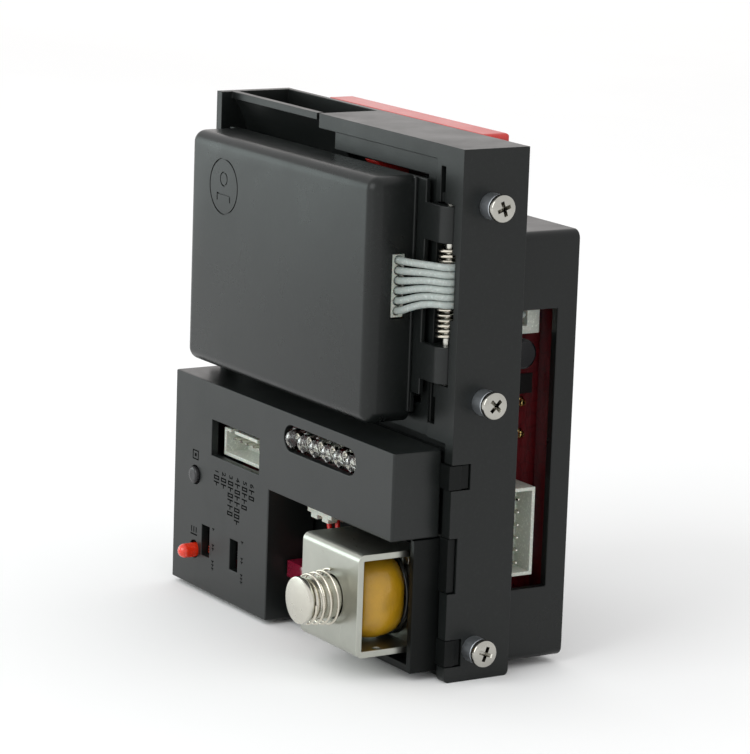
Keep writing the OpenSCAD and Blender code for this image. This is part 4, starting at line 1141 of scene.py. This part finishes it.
class BuildRibbonCable(bpy.types.Operator):
    """Builds the six-wire cable and its slotted plug in the door"""

    bl_idname = "coin_acceptor.ribbon_cable"
    bl_label = "Ribbon cable"

    def execute(self, context):
        softened("ribbon_plug", "door_cable_plug", "connector_white", 0.15)
        low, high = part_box("ribbon_plug")
        z_mid = (low.z + high.z) / 2 / MM + 0.05
        spread, bunch, bunch_z = 1.95, 1.42, z_mid + 1.5
        outer = [(28.4, -4.5, 0), (30, -4.5, 0.02), (31.6, -4.4, 0.14), (33.5, -4, 0.4), (35.5, -3.4, 0.68),
                 (37.5, -2.7, 0.88), (39, -2.1, 0.96), (40.4, -1.6, 1), (41.4, -0.8, 1), (41.8, 0.6, 1)]
        inner = [(41.8, 2.5, 0.05), (41.5, 5, 0.2), (40.8, 8, 0.4), (39.9, 11, 0.65), (39.3, 13.6, 0.85),
                 (39.05, 15.6, 0.97), (38.85, 17.3, 1), (38.2, 18.6, 1), (37.2, 18.9, 1), (35.4, 18.9, 1)]
        routes = []
        for i in range(WIRE_COUNT):
            k = i - (WIRE_COUNT - 1) / 2
            z0, z1, z2 = z_mid + k * spread, bunch_z + k * bunch, 73.8 + k * 2
            routes.append([at(x, y, z0 + (z1 - z0) * t) for x, y, t in outer]
                          + [at(x, y, z1 + (z2 - z1) * t) for x, y, t in inner])
        bm = wire_mesh(routes, WIRE_RADIUS, "door_cable")
        piece = add_piece(bm, "door_cable", None, "cable_grey", ("ribbon_cable",))
        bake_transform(piece)
        return {"FINISHED"}


class BuildHinge(bpy.types.Operator):
    """Builds the hinge pin and the torsion spring"""

    bl_idname = "coin_acceptor.hinge"
    bl_label = "Hinge"

    def execute(self, context):
        low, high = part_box("hinge_pin")
        radius = (high.x - low.x) / 2 / MM
        length = (high.z - low.z) / MM
        centre = Vector(((low.x + high.x) / 2, (low.y + high.y) / 2, low.z))
        bm = bmesh.new()
        turned(bm, [(0, 0), (radius - 0.2, 0), (radius, 0.2), (radius, length - 0.2), (radius - 0.2, length),
                    (0, length)],
               centre, Z, 32)
        add_piece(bm, "hinge_rod", "frame", "gate_steel", ("hinge_pin",))
        wire = settings().metal.hinge_wire
        spring_low, spring_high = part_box("hinge_spring")
        bm = bmesh.new()
        height = (spring_high.z - spring_low.z) / MM - 2 * wire
        spring(bm, 2.05, wire, 17.5, height, Vector((centre.x, centre.y, spring_low.z + wire * MM)), Z, 24,
               10)
        add_piece(bm, "hinge_coil", "frame", "spring_steel", ("hinge_spring",))
        return {"FINISHED"}


class BuildLever(bpy.types.Operator):
    """Builds the reject lever and its return spring"""

    bl_idname = "coin_acceptor.lever"
    bl_label = "Reject lever"

    def execute(self, context):
        low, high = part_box("reject_lever")
        top, right = high.z, high.x

        def roundness(spot, edge):
            along_y = abs((edge.verts[0].co - edge.verts[1].co).normalized().y) > 0.9
            at_end = abs(spot.x - right) < 0.1 * MM and abs(spot.z - top) < 0.1 * MM
            return 1.0 if along_y and at_end else (0.3 if spot.z > top - 0.1 * MM else 0.15)

        softened("reject_lever", "lever_bar", "lever_red", 1.2, 5, roundness)
        low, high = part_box("lever_spring")
        bm = bmesh.new()
        wire = 0.2
        centre = (low + high) / 2
        spring(bm, 1.25, wire, 7, (high.z - low.z) / MM - 2 * wire,
               Vector((centre.x, centre.y, low.z + wire * MM)), Z, 24, 8)
        piece = add_piece(bm, "lever_return_spring", "frame", "spring_steel",
                          ("lever_spring",))
        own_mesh(piece)
        return {"FINISHED"}


class BuildGate(bpy.types.Operator):
    """Rounds the accept gate behind the solenoid"""

    bl_idname = "coin_acceptor.gate"
    bl_label = "Accept gate"

    def execute(self, context):
        softened("accept_gate", "coin_gate", "gate_steel", 0.12)
        return {"FINISHED"}


class BuildStage(bpy.types.Operator):
    """Sets the floor, the lights and the camera"""

    bl_idname = "coin_acceptor.stage"
    bl_label = "Stage"

    def execute(self, context):
        stage = settings().stage
        self.build_floor()
        self.build_world(stage.ambient)
        target = Vector((0, 0, 0.05))
        self.add_area("front_light", Vector((0.15, -1.3, 0.75)), target, 1.1, stage.key, (0.97, 1.0, 1.0))
        self.add_area("back_light", Vector((-1.25, 0.78, 0.5)), target, 0.8, stage.top, (1.0, 0.86, 0.8))
        self.add_area("left_card", Vector((-0.62, -0.42, 0.16)), target, 0.35, stage.card, (0.84, 1.0, 0.98))
        self.build_camera(context, stage.lens)
        return {"FINISHED"}

    def build_floor(self):
        """A wide pale floor."""
        tree, shader, place = start_finish("floor_paint", Roughness=0.9)
        marks = use_group(tree, "HandlingMarks", place, Size=3.0)
        vary(tree, shader, "Base Color", marks.outputs["Smudge"], (0.93, 0.93, 0.93), (0.95, 0.95, 0.95))
        bm = bmesh.new()
        bmesh.ops.create_grid(bm, x_segments=1, y_segments=1, size=6.0)
        mesh = bpy.data.meshes.new("floor")
        bm.to_mesh(mesh)
        bm.free()
        mesh.materials.append(FINISHES["floor_paint"])
        floor = bpy.data.objects.new("floor", mesh)
        bpy.context.scene.collection.objects.link(floor)

    def build_world(self, strength):
        """Even white surroundings."""
        world = bpy.data.worlds.new("surroundings")
        world.use_nodes = True
        background = world.node_tree.nodes["Background"]
        background.inputs["Color"].default_value = (1, 1, 1, 1)
        background.inputs["Strength"].default_value = strength
        bpy.context.scene.world = world
        bpy.context.scene.view_settings.view_transform = "Standard"

    def add_area(self, name, place, target, size, power, colour):
        """One square soft light that looks at the object."""
        data = bpy.data.lights.new(name, "AREA")
        data.shape = "SQUARE"
        data.size = size
        data.energy = power
        data.color = colour
        light = bpy.data.objects.new(name, data)
        light.location = place
        light.rotation_euler = (target - place).to_track_quat("-Z", "Y").to_euler()
        bpy.context.scene.collection.objects.link(light)

    def build_camera(self, context, lens):
        """The camera's place, turn and roll."""
        data = bpy.data.cameras.new("camera")
        data.lens = lens
        data.sensor_width = 36.0
        data.sensor_fit = "AUTO"
        data.clip_start = 0.01
        camera = bpy.data.objects.new("camera", data)
        azimuth, elevation, roll = (math.radians(angle) for angle in CAMERA_TURN)
        back = Vector((math.sin(azimuth) * math.cos(elevation), -math.cos(azimuth) * math.cos(elevation),
                       math.sin(elevation)))
        right = Vector((math.cos(azimuth), math.sin(azimuth), 0))
        up = back.cross(right)
        side = math.cos(roll) * right + math.sin(roll) * up
        head = -math.sin(roll) * right + math.cos(roll) * up
        turn = Matrix((side, head, back)).transposed().to_4x4()
        camera.matrix_world = Matrix.Translation(CAMERA_PLACE) @ turn
        bpy.context.scene.collection.objects.link(camera)
        context.scene.camera = camera


OPERATORS = (BuildFinishes, BuildFrame, BuildRearHousing, BuildSideBoard, BuildStuds, BuildControlBox,
             BuildPrintedMarks, BuildFrontHeader, BuildDisplayLamps, BuildStatusLamp, BuildControls,
             BuildSolenoid, BuildSolenoidPlug, BuildDoorCover, BuildDoorPlate, BuildRibbonCable, BuildHinge,
             BuildLever, BuildGate, BuildStage)


class CoinAcceptorPanel(bpy.types.Panel):
    """Lists the settings and the steps of the build"""

    bl_idname = "VIEW3D_PT_coin_acceptor"
    bl_label = "Coin Acceptor"
    bl_space_type = "VIEW_3D"
    bl_region_type = "UI"
    bl_category = "Coin Acceptor"

    def draw(self, context):
        for group in ("moulding", "metal", "wiring", "stage"):
            values = getattr(context.scene.coin_acceptor, group)
            column = self.layout.column(heading=group.capitalize())
            for label in values.__annotations__:
                column.prop(values, label)
        for operator in OPERATORS:
            self.layout.operator(operator.bl_idname)


CLASSES = (MouldingSettings, MetalSettings, WiringSettings, StageSettings, CoinAcceptorSettings, *OPERATORS,
           CoinAcceptorPanel)


def register():
    for item in CLASSES:
        bpy.utils.register_class(item)
    bpy.types.Scene.coin_acceptor = PointerProperty(type=CoinAcceptorSettings)


def unregister():
    del bpy.types.Scene.coin_acceptor
    for item in reversed(CLASSES):
        bpy.utils.unregister_class(item)


def main():
    register()
    for operator in OPERATORS:
        group, name = operator.bl_idname.split(".")
        getattr(getattr(bpy.ops, group), name)()


if __name__ == "__main__":
    main()
